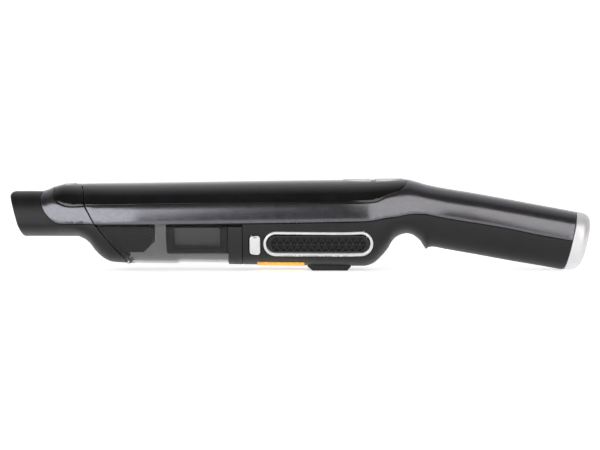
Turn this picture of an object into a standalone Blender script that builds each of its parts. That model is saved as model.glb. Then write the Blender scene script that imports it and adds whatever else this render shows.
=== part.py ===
"""Handheld stick vacuum, built as the separate pieces that it comes apart into.

The nozzle points along -X, the handle along +X and up is +Z. The origin is under the middle of the
object, on the surface that it lies on. The sizes below are in millimetres, and MM turns them into metres.
"""

import math

import bmesh
import bpy
import numpy as np
from mathutils import Matrix, Vector

MM = 0.001
GAP = 0.3

# Outer form, as (x, value) points that a smooth curve passes through.
HALF_WIDTH = [
    (-222, 20), (-197, 20), (-190, 20.6), (-184, 21.9), (-176, 24.3), (-168, 26.8), (-160, 28.9),
    (-150, 30.8), (-138, 32.2), (-118, 33), (30, 33), (50, 32.2), (65, 29), (80, 25.2), (95, 22.8),
    (110, 21.8), (136, 21.5), (222, 20.8),
]
CROWN = [
    (-197, 59.4), (-192, 60.2), (-184, 63.2), (-177, 64.8), (-165, 65.2), (-113, 65.9), (-75, 66.5),
    (0, 67.6), (34, 68), (78, 68.6), (87.6, 66.7), (95, 64.5), (136, 57.2), (207, 44.1), (222, 41.3),
]
WIDEST = [
    (-222, 35.6), (-151, 35.6), (-44, 36.4), (42, 37.8), (50, 38), (64.5, 40.3), (74, 41.4),
    (79, 42.5), (86, 43.1), (93.5, 42.8), (100.5, 41.4), (115, 38.7), (134, 35.7), (157, 31.7),
    (179, 27.1), (202, 23.1), (222, 19.2),
]
BELLY = [
    (-222, 25.5), (-167.5, 25.5), (-163, 24), (-158, 20.5), (-153, 14), (-147, 8.9), (-141, 6.4),
    (-130, 5.7), (-93, 5.1), (-41, 4.4), (48, 3.2), (55, 5.2), (60.6, 9.8), (66, 16.1),
    (69.6, 22.3), (73.2, 25.5), (77, 27.1), (80.4, 27.7), (84, 27), (87.7, 24.8), (91.3, 21.5),
    (95.2, 15.6), (97.1, 17.2), (99.2, 17.5), (109.3, 15.8), (136, 11.1), (159, 6.9), (182, 3.1),
    (198, 0.4), (205, 0), (222, 0),
]
UPPER_POWER = 2.3
LOWER_POWER = [
    (-222, 1.6), (-175, 1.7), (-160, 2.1), (-140, 2.7), (-120, 2.8), (45, 2.8), (75, 2.3), (222, 2.2),
]

# Lines of the side view, as (x, z): where the pieces of the skin meet.
DOOR_LINE = [
    (-119, -4.7), (-127.6, 5.7), (-152.3, 35.5), (-159.3, 48.4), (-160.8, 53.7), (-161.4, 60), (-164, 66),
    (-168, 76),
]
MOUTH_LINE = [(-205.2, 16.5), (-222.9, 76)]
HANDLE_END_LINE = [(195.7, -10), (215.1, 76)]
PANEL_LINE = [
    (-172, 49.2), (-162, 49.5), (-75, 51.3), (0, 51.7), (34, 51.5), (50, 51.9), (57.6, 52.9),
    (64, 56.5), (74.3, 60.9), (79.7, 66.7), (80.5, 76),
]
VISOR_LINE = [
    (-176, 35.8), (-180.3, 36.1), (-186, 39.3), (-190.5, 44.4), (-193.3, 50.8), (-194, 56.5),
    (-192.6, 59.6), (-191, 76),
]
INLAY_LINE = [(-157, 49.4), (-176, 49.5), (-179, 50.8), (-183.3, 54.4), (-184, 61), (-184, 76)]

SHELL = 2.6
PANEL = 1.2
VISOR = 1.3
CUP_WALL = 1.8
RING_WALL = 2.0
FAR = 60

# Cup, ring and body join.
CUP_TOP = 34.0
CUP_ARCH_BASE = 34.8
CUP_ARCH_WIDTH = 25.4
CUP_ARCH_TOP = 62.2
CUP_REAR = -53.6
RING_REAR = -42.8
BODY_FRONT = -41.2
NOZZLE_HALF_WIDTH = 20
NOZZLE_TOP = 59.5
NOZZLE_LEDGE = 35.4

# Door hinge, along Y.
HINGE_X = -128.0
HINGE_Z = 7.3
BARREL_RADIUS = 1.7
PIN_RADIUS = 0.8
HINGE_NOTCH = 2.3

# Inlet duct and its flap.
DUCT_HALF_WIDTH = 14.5
DUCT_WALL = 1.6
DUCT_OUTLINE = [(-172, 14.2), (-117, 14.2), (-110.6, 20.6), (-110.6, 50), (-172, 50)]
FLAP_X = -140
FLAP_Z = 47.4
FLAP_BOTTOM = 17.5

# Filter, turned about a line along X.
FILTER_Z = 35.2
FILTER_RADIUS = 23
FILTER_FRONT = -100
PLEATS = 20

# Motor, turned about a line along X.
MOTOR_Z = 36

# Screws, as (x, y), that hold the two halves of the housing.
SCREW_PLACES = [(0, 0), (103, 0), (190, 0)]
SCREW_RADIUS = 2.6

# Stations along X at which the skin is drawn, closer together where it bends more.
UPPER_XS = [
    -197, -190, -184, -177, -168, -160, -150, -138, -118, -75, -25, 25, 40, 50, 57, 64, 70, 75, 79, 83,
    87.6, 92, 97, 104, 115, 136, 160, 185, 220,
]
LOWER_XS = [
    BODY_FRONT, -10, 25, 48, 51.5, 55, 58, 60.6, 63.5, 66, 68, 69.6, 71.4, 73.2, 77, 80.4, 84, 87.7,
    91.3, 93.3, 95.2, 97.1, 99.2, 109.3, 124, 140, 160, 182, 198, 205, 220,
]
SEAM_XS = [
    -190, -152, -100, -44, 0, 42, 50, 57, 64.5, 70, 74, 79, 83, 87, 92, 97, 104, 115, 134, 157, 179,
    202, 222,
]
CUP_XS = [-172, -160, -152, -144, -136, -128, -118, -106, -92, -89.5, -72, CUP_REAR]
PLATE_XS = [-172, -160, -152, -144, -136, -128, -122]
DOOR_XS = [
    -224, -197, -190, -184, -176, -167.5, -163, -158, -155, -152, -149, -145, -141, -136, -130, -120,
]
SECTION_COLUMNS = 13

# Vents and buttons on the two sides.
VENT_X = 13.6
VENT_Z = 21.3
VENT_LENGTH = 81.6
VENT_HEIGHT = 18.6
TRIM_WIDTH = 2.1
VENT_TILT = 15
HOLE_PITCH = 5.12
HOLE_COLUMNS = 14
HOLE_BASE = 4.0
HOLE_HEIGHT = 4.4
HOLE_ROW = 2.8
HOLE_STAGGER = 0.24
RELEASE_X = -33.4
RELEASE_Z = 20.2

# Top buttons: two parts of one oval.
OVAL_X = 54.8
OVAL_HALF_LENGTH = 22.4
OVAL_HALF_WIDTH = 11
BUTTON_SPANS = {"power_button": (32.4, 53.6), "mode_button": (56.6, 77.2)}
DOOR_BUTTON_X = -173
DOOR_BUTTON_RADIUS = 5

# Battery pack in the handle.
HANDLE_SLOPE = math.atan(-0.18)
PACK_X = 146
PACK_Z = 32.4
CELL_RADIUS = 9.1
CELL_LENGTH = 65
CELL_OFFSET = 9.3

MATERIALS = {
    "satin_plastic": ((0.10, 0.10, 0.11), 0.42, 0.3),
    "gloss_plastic": ((0.012, 0.012, 0.013), 0.12, 0.0),
    "matt_plastic": ((0.035, 0.035, 0.037), 0.5, 0.0),
    "smoke_plastic": ((0.16, 0.16, 0.17), 0.2, 0.0),
    "silver_plastic": ((0.72, 0.72, 0.73), 0.35, 0.5),
    "dark_plastic": ((0.05, 0.05, 0.05), 0.55, 0.0),
    "rubber": ((0.02, 0.02, 0.02), 0.8, 0.0),
    "steel": ((0.55, 0.55, 0.56), 0.3, 1.0),
    "copper": ((0.6, 0.3, 0.15), 0.35, 1.0),
    "filter_cloth": ((0.8, 0.8, 0.76), 0.9, 0.0),
    "board_green": ((0.03, 0.2, 0.08), 0.5, 0.0),
    "cell_blue": ((0.05, 0.15, 0.45), 0.4, 0.0),
    "label_yellow": ((0.75, 0.45, 0.08), 0.5, 0.0),
    "lead_red": ((0.6, 0.03, 0.03), 0.5, 0.0),
}


# ---------------------------------------------------------------- the outer form

def curve_through(points):
    """Return a smooth function through the points that never overshoots them."""
    xs, values = np.array(points, float).T
    steps = np.diff(xs)
    rates = np.diff(values) / steps
    slopes = np.zeros(len(xs))
    for i in range(1, len(xs) - 1):
        if rates[i - 1] * rates[i] > 0:
            before = 2 * steps[i] + steps[i - 1]
            after = steps[i] + 2 * steps[i - 1]
            slopes[i] = (before + after) / (before / rates[i - 1] + after / rates[i])
    slopes[0] = rates[0]
    slopes[-1] = rates[-1]

    def value_at(x):
        i = int(np.clip(np.searchsorted(xs, x) - 1, 0, len(steps) - 1))
        t = float(np.clip((x - xs[i]) / steps[i], 0, 1))
        rise = values[i] * (1 + 2 * t) * (1 - t) ** 2 + values[i + 1] * t * t * (3 - 2 * t)
        bend = slopes[i] * t * (1 - t) ** 2 - slopes[i + 1] * t * t * (1 - t)
        return rise + bend * steps[i]

    return value_at


half_width = curve_through(HALF_WIDTH)
crown = curve_through(CROWN)
widest = curve_through(WIDEST)
belly = curve_through(BELLY)
lower_power = curve_through(LOWER_POWER)
cup_lift = curve_through([(-92, 0), (-89.5, 1.2), (-50, 1.2)])


def arch(turn, width, rise, power):
    """Return (y, height) on a half superellipse; turn runs from 0 at the -Y side to 180 degrees."""
    side = math.cos(math.radians(turn))
    up = abs(math.sin(math.radians(turn)))
    return -math.copysign(abs(side) ** (2 / power), side) * width, up ** (2 / power) * rise


def body_point(x, turn, inset=0.0, lift=0.0):
    """Return the point of the outer form at x: turn 0 is the -Y side, 90 the crown, 270 the belly."""
    if turn <= 180:
        y, height = arch(turn, half_width(x) - inset, crown(x) - widest(x) - inset, UPPER_POWER)
        return Vector((x, y, widest(x) + height))
    y, depth = arch(turn, half_width(x) - inset, widest(x) - belly(x) - lift - inset, lower_power(x))
    return Vector((x, y, widest(x) - depth))


def turn_at(x, z, inset=0.0, lift=0.0):
    """Return the turn at which the -Y side of the outer form passes height z."""
    if z >= widest(x):
        rise = ((z - widest(x)) / (crown(x) - widest(x) - inset)) ** (UPPER_POWER / 2)
        return math.degrees(math.asin(min(1, rise)))
    depth = ((widest(x) - z) / (widest(x) - belly(x) - lift - inset)) ** (lower_power(x) / 2)
    return 360 - math.degrees(math.asin(min(1, depth)))


def spread(start, end, count):
    return [float(value) for value in np.linspace(start, end, count)]


# ---------------------------------------------------------------- objects

def clear_scene():
    for item in list(bpy.data.objects):
        bpy.data.objects.remove(item, do_unlink=True)


def new_collection(name):
    collection = bpy.data.collections.new(name)
    bpy.context.scene.collection.children.link(collection)
    return collection


def make_materials():
    for name, (colour, roughness, metallic) in MATERIALS.items():
        material = bpy.data.materials.new(name)
        material.use_nodes = True
        shader = material.node_tree.nodes["Principled BSDF"]
        shader.inputs["Base Color"].default_value = (*colour, 1)
        shader.inputs["Roughness"].default_value = roughness
        shader.inputs["Metallic"].default_value = metallic


def add_part(name, mesh, material):
    """Add a visible piece of the vacuum."""
    item = bpy.data.objects.new(name, mesh)
    mesh.materials.clear()
    mesh.materials.append(bpy.data.materials[material])
    PARTS.objects.link(item)
    return item


def add_cutter(name, mesh):
    """Add a helper that shapes other pieces and is never seen."""
    item = bpy.data.objects.new(name, mesh)
    item.hide_render = True
    item.display_type = "WIRE"
    CUTTERS.objects.link(item)
    return item


def combine(item, other, operation):
    modifier = item.modifiers.new(operation.lower(), "BOOLEAN")
    modifier.operation = operation
    modifier.object = other
    modifier.solver = "EXACT"


def thicken(item, thickness):
    """Give an open surface a wall on its inner side."""
    modifier = item.modifiers.new("wall", "SOLIDIFY")
    modifier.thickness = thickness * MM
    modifier.offset = -1
    modifier.use_even_offset = True


def add_pivot(name, place, pieces):
    """Parent pieces to an empty that stands on their joint, and leave them where they are."""
    pivot = bpy.data.objects.new(name, None)
    pivot.location = Vector(place) * MM
    pivot.empty_display_size = 0.01
    PARTS.objects.link(pivot)
    bpy.context.view_layer.update()
    for piece in pieces:
        item = bpy.data.objects[piece]
        item.parent = pivot
        item.matrix_parent_inverse = pivot.matrix_world.inverted()


def grid_mesh(name, rows, closed_columns=False, close_ends=False):
    """Join rows of points into one surface: rows go along +X, points round from -Y over the top."""
    shape = bmesh.new()
    grid = [[shape.verts.new(point * MM) for point in row] for row in rows]
    count = len(rows[0])
    for lower, upper in zip(grid, grid[1:]):
        for j in range(count if closed_columns else count - 1):
            k = (j + 1) % count
            shape.faces.new((lower[j], upper[j], upper[k], lower[k]))
    if close_ends:
        shape.faces.new(grid[0])
        shape.faces.new(list(reversed(grid[-1])))
    bmesh.ops.remove_doubles(shape, verts=shape.verts, dist=1e-6)
    if close_ends:
        bmesh.ops.recalc_face_normals(shape, faces=shape.faces)
    mesh = bpy.data.meshes.new(name)
    shape.to_mesh(mesh)
    shape.free()
    return mesh


def mesh_of_curve(curve, place):
    """Turn a curve into a closed mesh, moved by place."""
    drawn = bpy.data.objects.new(curve.name, curve)
    CUTTERS.objects.link(drawn)
    bpy.context.view_layer.update()
    graph = bpy.context.evaluated_depsgraph_get()
    mesh = bpy.data.meshes.new_from_object(drawn.evaluated_get(graph))
    bpy.data.objects.remove(drawn, do_unlink=True)
    shape = bmesh.new()
    shape.from_mesh(mesh)
    bmesh.ops.remove_doubles(shape, verts=shape.verts, dist=1e-7)
    bmesh.ops.transform(shape, matrix=place, verts=shape.verts)
    bmesh.ops.recalc_face_normals(shape, faces=shape.faces)
    shape.to_mesh(mesh)
    shape.free()
    return mesh


def outline_mesh(name, outlines, depth, place):
    """Extrude flat outlines, the first outside and the rest holes, by depth about the plane of place."""
    curve = bpy.data.curves.new(name, "CURVE")
    curve.dimensions = "2D"
    curve.fill_mode = "BOTH"
    curve.extrude = depth * MM / 2
    for outline in outlines:
        spline = curve.splines.new("POLY")
        spline.points.add(len(outline) - 1)
        for point, (u, v) in zip(spline.points, outline):
            point.co = (u * MM, v * MM, 0, 1)
        spline.use_cyclic_u = True
    return mesh_of_curve(curve, place)


def side_place(y=0.0):
    """Frame of an outline drawn in (x, z) and extruded along Y."""
    return Matrix.Translation((0, y * MM, 0)) @ Matrix.Rotation(math.pi / 2, 4, "X")


def top_place(z=0.0):
    """Frame of an outline drawn in (x, y) and extruded along Z."""
    return Matrix.Translation((0, 0, z * MM))


def cross_place(x, z):
    """Frame of an outline drawn in (y, z) about height z and extruded along X."""
    turn = Matrix(((0, 0, 1, 0), (1, 0, 0, 0), (0, 1, 0, 0), (0, 0, 0, 1)))
    return Matrix.Translation((x * MM, 0, z * MM)) @ turn


def pack_place(along=0.0, across=0.0, y=0.0):
    """Frame of the battery pack, which leans with the handle."""
    lean = Matrix.Rotation(-HANDLE_SLOPE, 4, "Y")
    offset = Matrix.Translation((along * MM, y * MM, across * MM))
    return Matrix.Translation((PACK_X * MM, 0, PACK_Z * MM)) @ lean @ offset


def circle(radius, sides, u=0.0, v=0.0):
    turns = spread(0, 2 * math.pi, sides + 1)[:-1]
    return [(u + radius * math.cos(turn), v + radius * math.sin(turn)) for turn in turns]


def obround(u, v, length, height, sides=8):
    """Outline of a slot with half-round ends."""
    radius = height / 2
    reach = length / 2 - radius
    turns = spread(0, math.pi, sides + 1)
    right = [(u + reach + radius * math.sin(t), v - radius * math.cos(t)) for t in turns]
    left = [(u - reach - radius * math.sin(t), v + radius * math.cos(t)) for t in turns]
    return right + left


def box_mesh(name, x, y, z, place=None):
    """Make a box between pairs of limits in millimetres."""
    shape = bmesh.new()
    bmesh.ops.create_cube(shape, size=1)
    limits = (x, y, z)
    size = Matrix.Diagonal([(high - low) * MM for low, high in limits] + [1])
    middle = Matrix.Translation([(low + high) * MM / 2 for low, high in limits])
    bmesh.ops.transform(shape, matrix=(place or Matrix()) @ middle @ size, verts=shape.verts)
    mesh = bpy.data.meshes.new(name)
    shape.to_mesh(mesh)
    shape.free()
    return mesh


def rod_mesh(name, radius, length, sides, place):
    """Make a cylinder along the Z of place, centred on it."""
    shape = bmesh.new()
    bmesh.ops.create_cone(
        shape, cap_ends=True, segments=sides, radius1=radius * MM, radius2=radius * MM, depth=length * MM
    )
    bmesh.ops.transform(shape, matrix=place, verts=shape.verts)
    mesh = bpy.data.meshes.new(name)
    shape.to_mesh(mesh)
    shape.free()
    return mesh


def along_x(x, y, z):
    return Matrix.Translation((x * MM, y * MM, z * MM)) @ Matrix.Rotation(math.pi / 2, 4, "Y")


def along_y(x, y, z):
    return Matrix.Translation((x * MM, y * MM, z * MM)) @ Matrix.Rotation(math.pi / 2, 4, "X")


def turned(name, profile, z, material, steps=24, closed=True):
    """Turn an anticlockwise profile of (x, radius) points about the line along X at height z."""
    mesh = bpy.data.meshes.new(name)
    points = [(x * MM, 0, radius * MM) for x, radius in profile]
    edges = [(i, i + 1) for i in range(len(points) - 1)]
    if closed:
        edges.append((len(points) - 1, 0))
    mesh.from_pydata(points, edges, [])
    item = add_part(name, mesh, material)
    item.location = (0, 0, z * MM)
    modifier = item.modifiers.new("turn", "SCREW")
    modifier.axis = "X"
    modifier.steps = steps
    modifier.render_steps = steps
    modifier.use_merge_vertices = True
    modifier.merge_threshold = 1e-5
    return item


def ring(name, x0, x1, inner, outer, z, material, steps=24):
    return turned(name, [(x0, inner), (x1, inner), (x1, outer), (x0, outer)], z, material, steps)


def shift_line(line, dx):
    return [(x + dx, z) for x, z in line]


def beyond(line, dx, side):
    """Outline of everything on one side (-1 for -X, 1 for +X) of a line of the side view."""
    moved = shift_line(line, dx)
    edge = side * 400
    return moved + [(edge, moved[-1][1]), (edge, moved[0][1])]


def side_cutter(name, outline, y=0.0, depth=2 * FAR):
    return add_cutter(name, outline_mesh(name, [outline], depth, side_place(y)))


def top_cutter(name, outline, z=68.0, depth=24.0):
    return add_cutter(name, outline_mesh(name, [outline], depth, top_place(z)))


def patch_rows(xs, low_turn, high_turn, columns, inset=0.0):
    """Rows of points of the outer form between two turns, each a number or a function of x."""
    rows = []
    for x in xs:
        start = low_turn(x) if callable(low_turn) else low_turn
        end = high_turn(x) if callable(high_turn) else high_turn
        rows.append([body_point(x, turn, inset) for turn in spread(start, end, columns)])
    return rows


# ---------------------------------------------------------------- skin

def seam_line(dz):
    return [(x, widest(x) + dz) for x in SEAM_XS]


def upper_patch(xs, inset=0.0):
    return patch_rows(xs, 0, 180, SECTION_COLUMNS, inset)


def xs_between(xs, low, high):
    return [low] + [x for x in xs if low < x < high] + [high]


def make_upper_housing():
    """Spine over the cup, upper half of the motor housing and upper half of the handle."""
    rows = upper_patch(xs_between(UPPER_XS, -172, 220))
    item = add_part("upper_housing", grid_mesh("upper_housing", rows), "satin_plastic")
    thicken(item, SHELL)
    rows = upper_patch(xs_between(UPPER_XS, -184, 104), -2)
    recess = add_cutter("panel_recess", grid_mesh("panel_recess", rows))
    thicken(recess, 2 + PANEL + GAP)
    region = [(x + 0.2, z - 0.2) for x, z in panel_region()]
    combine(recess, side_cutter("panel_recess_region", region), "INTERSECT")
    combine(item, recess, "DIFFERENCE")
    below = side_cutter("below_seam", seam_line(GAP / 2) + [(222, -80), (-190, -80)])
    combine(item, below, "DIFFERENCE")
    combine(item, FRONT_OF_DOOR_LINE, "DIFFERENCE")
    combine(item, BEHIND_HANDLE, "DIFFERENCE")
    for opening in BUTTON_OPENINGS:
        combine(item, opening, "DIFFERENCE")


def panel_region():
    """Outline of the top panel in side view, open toward the front and above."""
    return [(-190, 90), (-190, PANEL_LINE[0][1])] + PANEL_LINE + [(80.5, 90)]


def make_top_panel():
    rows = upper_patch(xs_between(UPPER_XS, -184, 104))
    item = add_part("top_panel", grid_mesh("top_panel", rows), "gloss_plastic")
    thicken(item, PANEL)
    combine(item, side_cutter("panel_region", panel_region()), "INTERSECT")
    combine(item, FRONT_OF_DOOR_LINE, "DIFFERENCE")
    for opening in BUTTON_OPENINGS:
        combine(item, opening, "DIFFERENCE")


def make_lower_housing():
    """Lower half of the motor housing and of the handle, with its vents and button openings."""
    rows = patch_rows(LOWER_XS, 180, 360, SECTION_COLUMNS)
    item = add_part("lower_housing", grid_mesh("lower_housing", rows), "matt_plastic")
    thicken(item, SHELL)
    above = side_cutter("above_seam", seam_line(-GAP / 2) + [(222, 120), (-190, 120)])
    combine(item, above, "DIFFERENCE")
    combine(item, BEHIND_HANDLE, "DIFFERENCE")
    vent = obround(VENT_X, VENT_Z, VENT_LENGTH + 2 * GAP, VENT_HEIGHT + 2 * GAP)
    combine(item, side_cutter("vent_opening", vent), "DIFFERENCE")
    combine(item, side_cutter("release_opening", release_outline(GAP)), "DIFFERENCE")
    block = box_mesh("block_opening", (5.3, 38.6), (-11.3, 11.3), (-4, 12))
    combine(item, add_cutter("block_opening", block), "DIFFERENCE")
    for index, (x, y) in enumerate(SCREW_PLACES):
        place = Matrix.Translation(Vector((x, y, belly(x))) * MM)
        hole = rod_mesh("screw_hole", SCREW_RADIUS + GAP, 30, 10, place)
        combine(item, add_cutter(f"screw_hole_{index}", hole), "DIFFERENCE")


def make_screws():
    """Housing screws that stand in the belly, with their heads sunk in it."""
    profile = [(1, 0), (1, SCREW_RADIUS), (3, SCREW_RADIUS), (3, 1.4), (11, 1.4), (11, 0)]
    for index, (x, y) in enumerate(SCREW_PLACES):
        item = turned(f"housing_screw_{index + 1}", list(reversed(profile)), 0, "steel", 10, closed=False)
        item.rotation_euler = (0, -math.pi / 2, 0)
        item.location = Vector((x, y, belly(x))) * MM


def release_outline(grow):
    """Rounded trapezoid of a cup release button, narrower toward the front."""
    x0, x1 = RELEASE_X - 4.25 - grow, RELEASE_X + 4.25 + grow
    high, low = 7.85 + grow, 6.9 + grow
    corner = 2.2
    return [
        (x0, RELEASE_Z - low + corner), (x0 + corner, RELEASE_Z - low), (x1 - corner, RELEASE_Z - high),
        (x1, RELEASE_Z - high + corner), (x1, RELEASE_Z + high - corner), (x1 - corner, RELEASE_Z + high),
        (x0 + corner, RELEASE_Z + low), (x0, RELEASE_Z + low - corner),
    ]


def make_side_pieces():
    """Vent trims, vent grilles and release buttons on both sides."""
    sides = {"left": (-1, 300, 358), "right": (1, 182, 240)}
    for side, (sign, start, end) in sides.items():
        name = f"vent_trim_{side}"
        xs = spread(VENT_X - 46, VENT_X + 46, 5)
        rows = patch_rows(xs, start, end, 9, -0.6)
        item = add_part(name, grid_mesh(name, rows), "silver_plastic")
        thicken(item, 4.4)
        outer = obround(VENT_X, VENT_Z, VENT_LENGTH, VENT_HEIGHT)
        opening = (VENT_LENGTH - 2 * TRIM_WIDTH, VENT_HEIGHT - 2 * TRIM_WIDTH)
        inner = obround(VENT_X, VENT_Z, *opening)
        combine(item, side_cutter(f"{name}_outer", outer, sign * 30, 40), "INTERSECT")
        combine(item, side_cutter(f"{name}_inner", inner, sign * 30, 42), "DIFFERENCE")
        make_grille(side, sign)
        name = f"release_button_{side}"
        xs = spread(RELEASE_X - 8, RELEASE_X + 8, 3)
        rows = patch_rows(xs, start, end, 9, -0.5)
        item = add_part(name, grid_mesh(name, rows), "silver_plastic")
        thicken(item, 3.2)
        combine(item, side_cutter(f"{name}_region", release_outline(0), sign * 30, 40), "INTERSECT")


def triangle(u, v, base, height, up):
    """Outline of a triangle whose middle is (u, v), pointing up or down."""
    tip = height / 2 if up else -height / 2
    return [(u - base / 2, v - tip), (u + base / 2, v - tip), (u, v + tip)]


def make_grille(side, sign):
    """Flat grille with two rows of a triangle truss, leaning with the side of the housing."""
    name = f"vent_grille_{side}"
    length = VENT_LENGTH - 2 * TRIM_WIDTH - 1.2
    height = VENT_HEIGHT - 2 * TRIM_WIDTH - 1.2
    holes = []
    for row in (-1, 1):
        for count, points_up in ((HOLE_COLUMNS - 1, row < 0), (HOLE_COLUMNS, row > 0)):
            for column in range(count):
                middle = (column - (count - 1) / 2) * HOLE_PITCH
                level = row * HOLE_ROW + (-HOLE_STAGGER if points_up else HOLE_STAGGER)
                holes.append(triangle(middle, level, HOLE_BASE, HOLE_HEIGHT, points_up))
    outlines = [obround(0, 0, length, height)] + holes
    y = sign * (abs(body_point(VENT_X, turn_at(VENT_X, VENT_Z)).y) - 2.6)
    lean = Matrix.Rotation(math.radians(90 - sign * VENT_TILT), 4, "X")
    place = Matrix.Translation(Vector((VENT_X, y, VENT_Z)) * MM) @ lean
    add_part(name, outline_mesh(name, outlines, 1.4, place), "dark_plastic")


def oval_outline(low, high, grow):
    """Outline of the part of the top buttons' oval between two stations."""
    near = []
    xs = spread(low - grow, high + grow, 7)
    for x in xs:
        reach = min(1.0, abs(x - OVAL_X) / (OVAL_HALF_LENGTH + 1.2))
        near.append((x, -(OVAL_HALF_WIDTH * (1 - reach ** 2.4) ** 0.55 + grow)))
    return near + [(x, -y) for x, y in reversed(near)]


def make_top_buttons():
    for name, (low, high) in BUTTON_SPANS.items():
        xs = xs_between(UPPER_XS, 25, 97)
        item = add_part(name, grid_mesh(name, upper_patch(xs, -0.5)), "silver_plastic")
        thicken(item, 2.9)
        combine(item, top_cutter(f"{name}_region", oval_outline(low, high, 0)), "INTERSECT")


def make_label():
    rows = patch_rows(spread(-31.8, 3.3, 4), 272, 301, 6, -0.6)
    item = add_part("rating_label", grid_mesh("rating_label", rows), "label_yellow")
    thicken(item, 0.3)


def make_charging_block():
    outline = [(9.4, 0), (35.5, 0), (38.3, 3.2), (38.3, 8.5), (5.6, 8.5), (5.6, 3.2)]
    mesh = outline_mesh("charging_block", [outline], 22, side_place())
    item = add_part("charging_block", mesh, "dark_plastic")
    for index, x in enumerate((17.5, 27.5)):
        hole = rod_mesh("contact_hole", 2.3, 30, 12, Matrix.Translation((x * MM, 0, 0)))
        combine(item, add_cutter(f"contact_hole_{index}", hole), "DIFFERENCE")
        contact = rod_mesh("charging_contact", 2.0, 9, 12, Matrix.Translation((x * MM, 0, 5.1 * MM)))
        add_part(f"charging_contact_{index + 1}", contact, "copper")


def end_point(turn, distance, inset):
    """Point of the handle's end, at a distance behind its slanted end plane."""
    (x0, z0), (x1, z1) = HANDLE_END_LINE
    x = 203.0
    for _ in range(8):
        z = body_point(x, turn, inset).z
        x = x0 + (z - z0) * (x1 - x0) / (z1 - z0) + distance
    return body_point(x, turn, inset)


def make_handle_end_cap():
    steps = [(-1.5, 0), (5.5, 0), (8.2, 0.5), (10.6, 2.2), (12, 4.8), (12.6, 8.5)]
    turns = spread(0, 360, 25)[:-1]
    rows = [[end_point(turn, distance, inset) for turn in turns] for distance, inset in steps]
    last = rows[-1]
    middle = sum(last, Vector()) / len(last)
    rows.append([middle] * len(turns))
    mesh = grid_mesh("handle_end_cap", rows, closed_columns=True)
    item = add_part("handle_end_cap", mesh, "silver_plastic")
    thicken(item, 2.2)
    combine(item, side_cutter("front_of_handle_end", beyond(HANDLE_END_LINE, GAP, -1)), "DIFFERENCE")


# ---------------------------------------------------------------- cup and door

def stepped_section(x, shoulder, arch_width, arch_top, arch_base, inset=0.0, lift=0.0, columns=13):
    """Closed section: the outer form below its shoulder and a narrower arch above it."""
    points = []
    base = arch_base - inset
    for turn in spread(0, 180, columns):
        y, height = arch(turn, arch_width - inset, arch_top - inset - base, UPPER_POWER)
        points.append(Vector((x, y, base + height)))
    start = turn_at(x, shoulder - inset, inset, lift)
    for turn in spread(540 - start, start, columns):
        points.append(body_point(x, turn, inset, lift))
    return points


def cup_section(x, inset=0.0, lift=0.0):
    """Section of the cup. Its arch is the same all along, so that it slides out of the narrowing spine."""
    return stepped_section(x, CUP_TOP, CUP_ARCH_WIDTH, CUP_ARCH_TOP, CUP_ARCH_BASE, inset, lift)


def door_section(x):
    arch_width = min(NOZZLE_HALF_WIDTH, abs(body_point(x, turn_at(x, NOZZLE_LEDGE)).y))
    return stepped_section(x, NOZZLE_LEDGE, arch_width, NOZZLE_TOP, NOZZLE_LEDGE)


def make_dust_cup():
    rows = [cup_section(x, 0, cup_lift(x)) for x in CUP_XS]
    mesh = grid_mesh("dust_cup", rows, closed_columns=True)
    item = add_part("dust_cup", mesh, "smoke_plastic")
    thicken(item, CUP_WALL)
    combine(item, FRONT_OF_DOOR_LINE, "DIFFERENCE")
    add_hinge(item, "cup", [(-12, 6), (12, 6)], 1)


def make_cup_ring():
    rows = [cup_section(x) for x in (CUP_REAR + GAP, RING_REAR)]
    mesh = grid_mesh("cup_rear_ring", rows, closed_columns=True)
    item = add_part("cup_rear_ring", mesh, "dark_plastic")
    thicken(item, RING_WALL)


def add_hinge(item, name, knuckles, side):
    """Cut room for the hinge into a wall, then add its barrels, as (y, length), with a bore for the pin.

    Each barrel's web reaches back into the wall: side is 1 where that is along +X, or -1.
    """
    room = rod_mesh("room", HINGE_NOTCH, 37, 16, along_y(HINGE_X, 0, HINGE_Z))
    combine(item, add_cutter(f"{name}_hinge_room", room), "DIFFERENCE")
    for index, (y, length) in enumerate(knuckles):
        barrel = rod_mesh("barrel", BARREL_RADIUS, length, 12, along_y(HINGE_X, y, HINGE_Z))
        web_x = sorted((HINGE_X, HINGE_X + 4.5 * side))
        web_z = (HINGE_Z - 1.2, HINGE_Z + 1.0)
        barrel_item = add_cutter(f"{name}_barrel_{index}", barrel)
        web = box_mesh("web", web_x, (y - length / 2, y + length / 2), web_z)
        combine(barrel_item, add_cutter(f"{name}_web_{index}", web), "UNION")
        combine(item, barrel_item, "UNION")
    bore = rod_mesh("bore", PIN_RADIUS + 0.35, 50, 12, along_y(HINGE_X, 0, HINGE_Z))
    combine(item, add_cutter(f"{name}_hinge_bore", bore), "DIFFERENCE")


def make_hinge_pin():
    pin = rod_mesh("hinge_pin", PIN_RADIUS, 36, 12, along_y(HINGE_X, 0, HINGE_Z))
    add_part("hinge_pin", pin, "steel")


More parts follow.
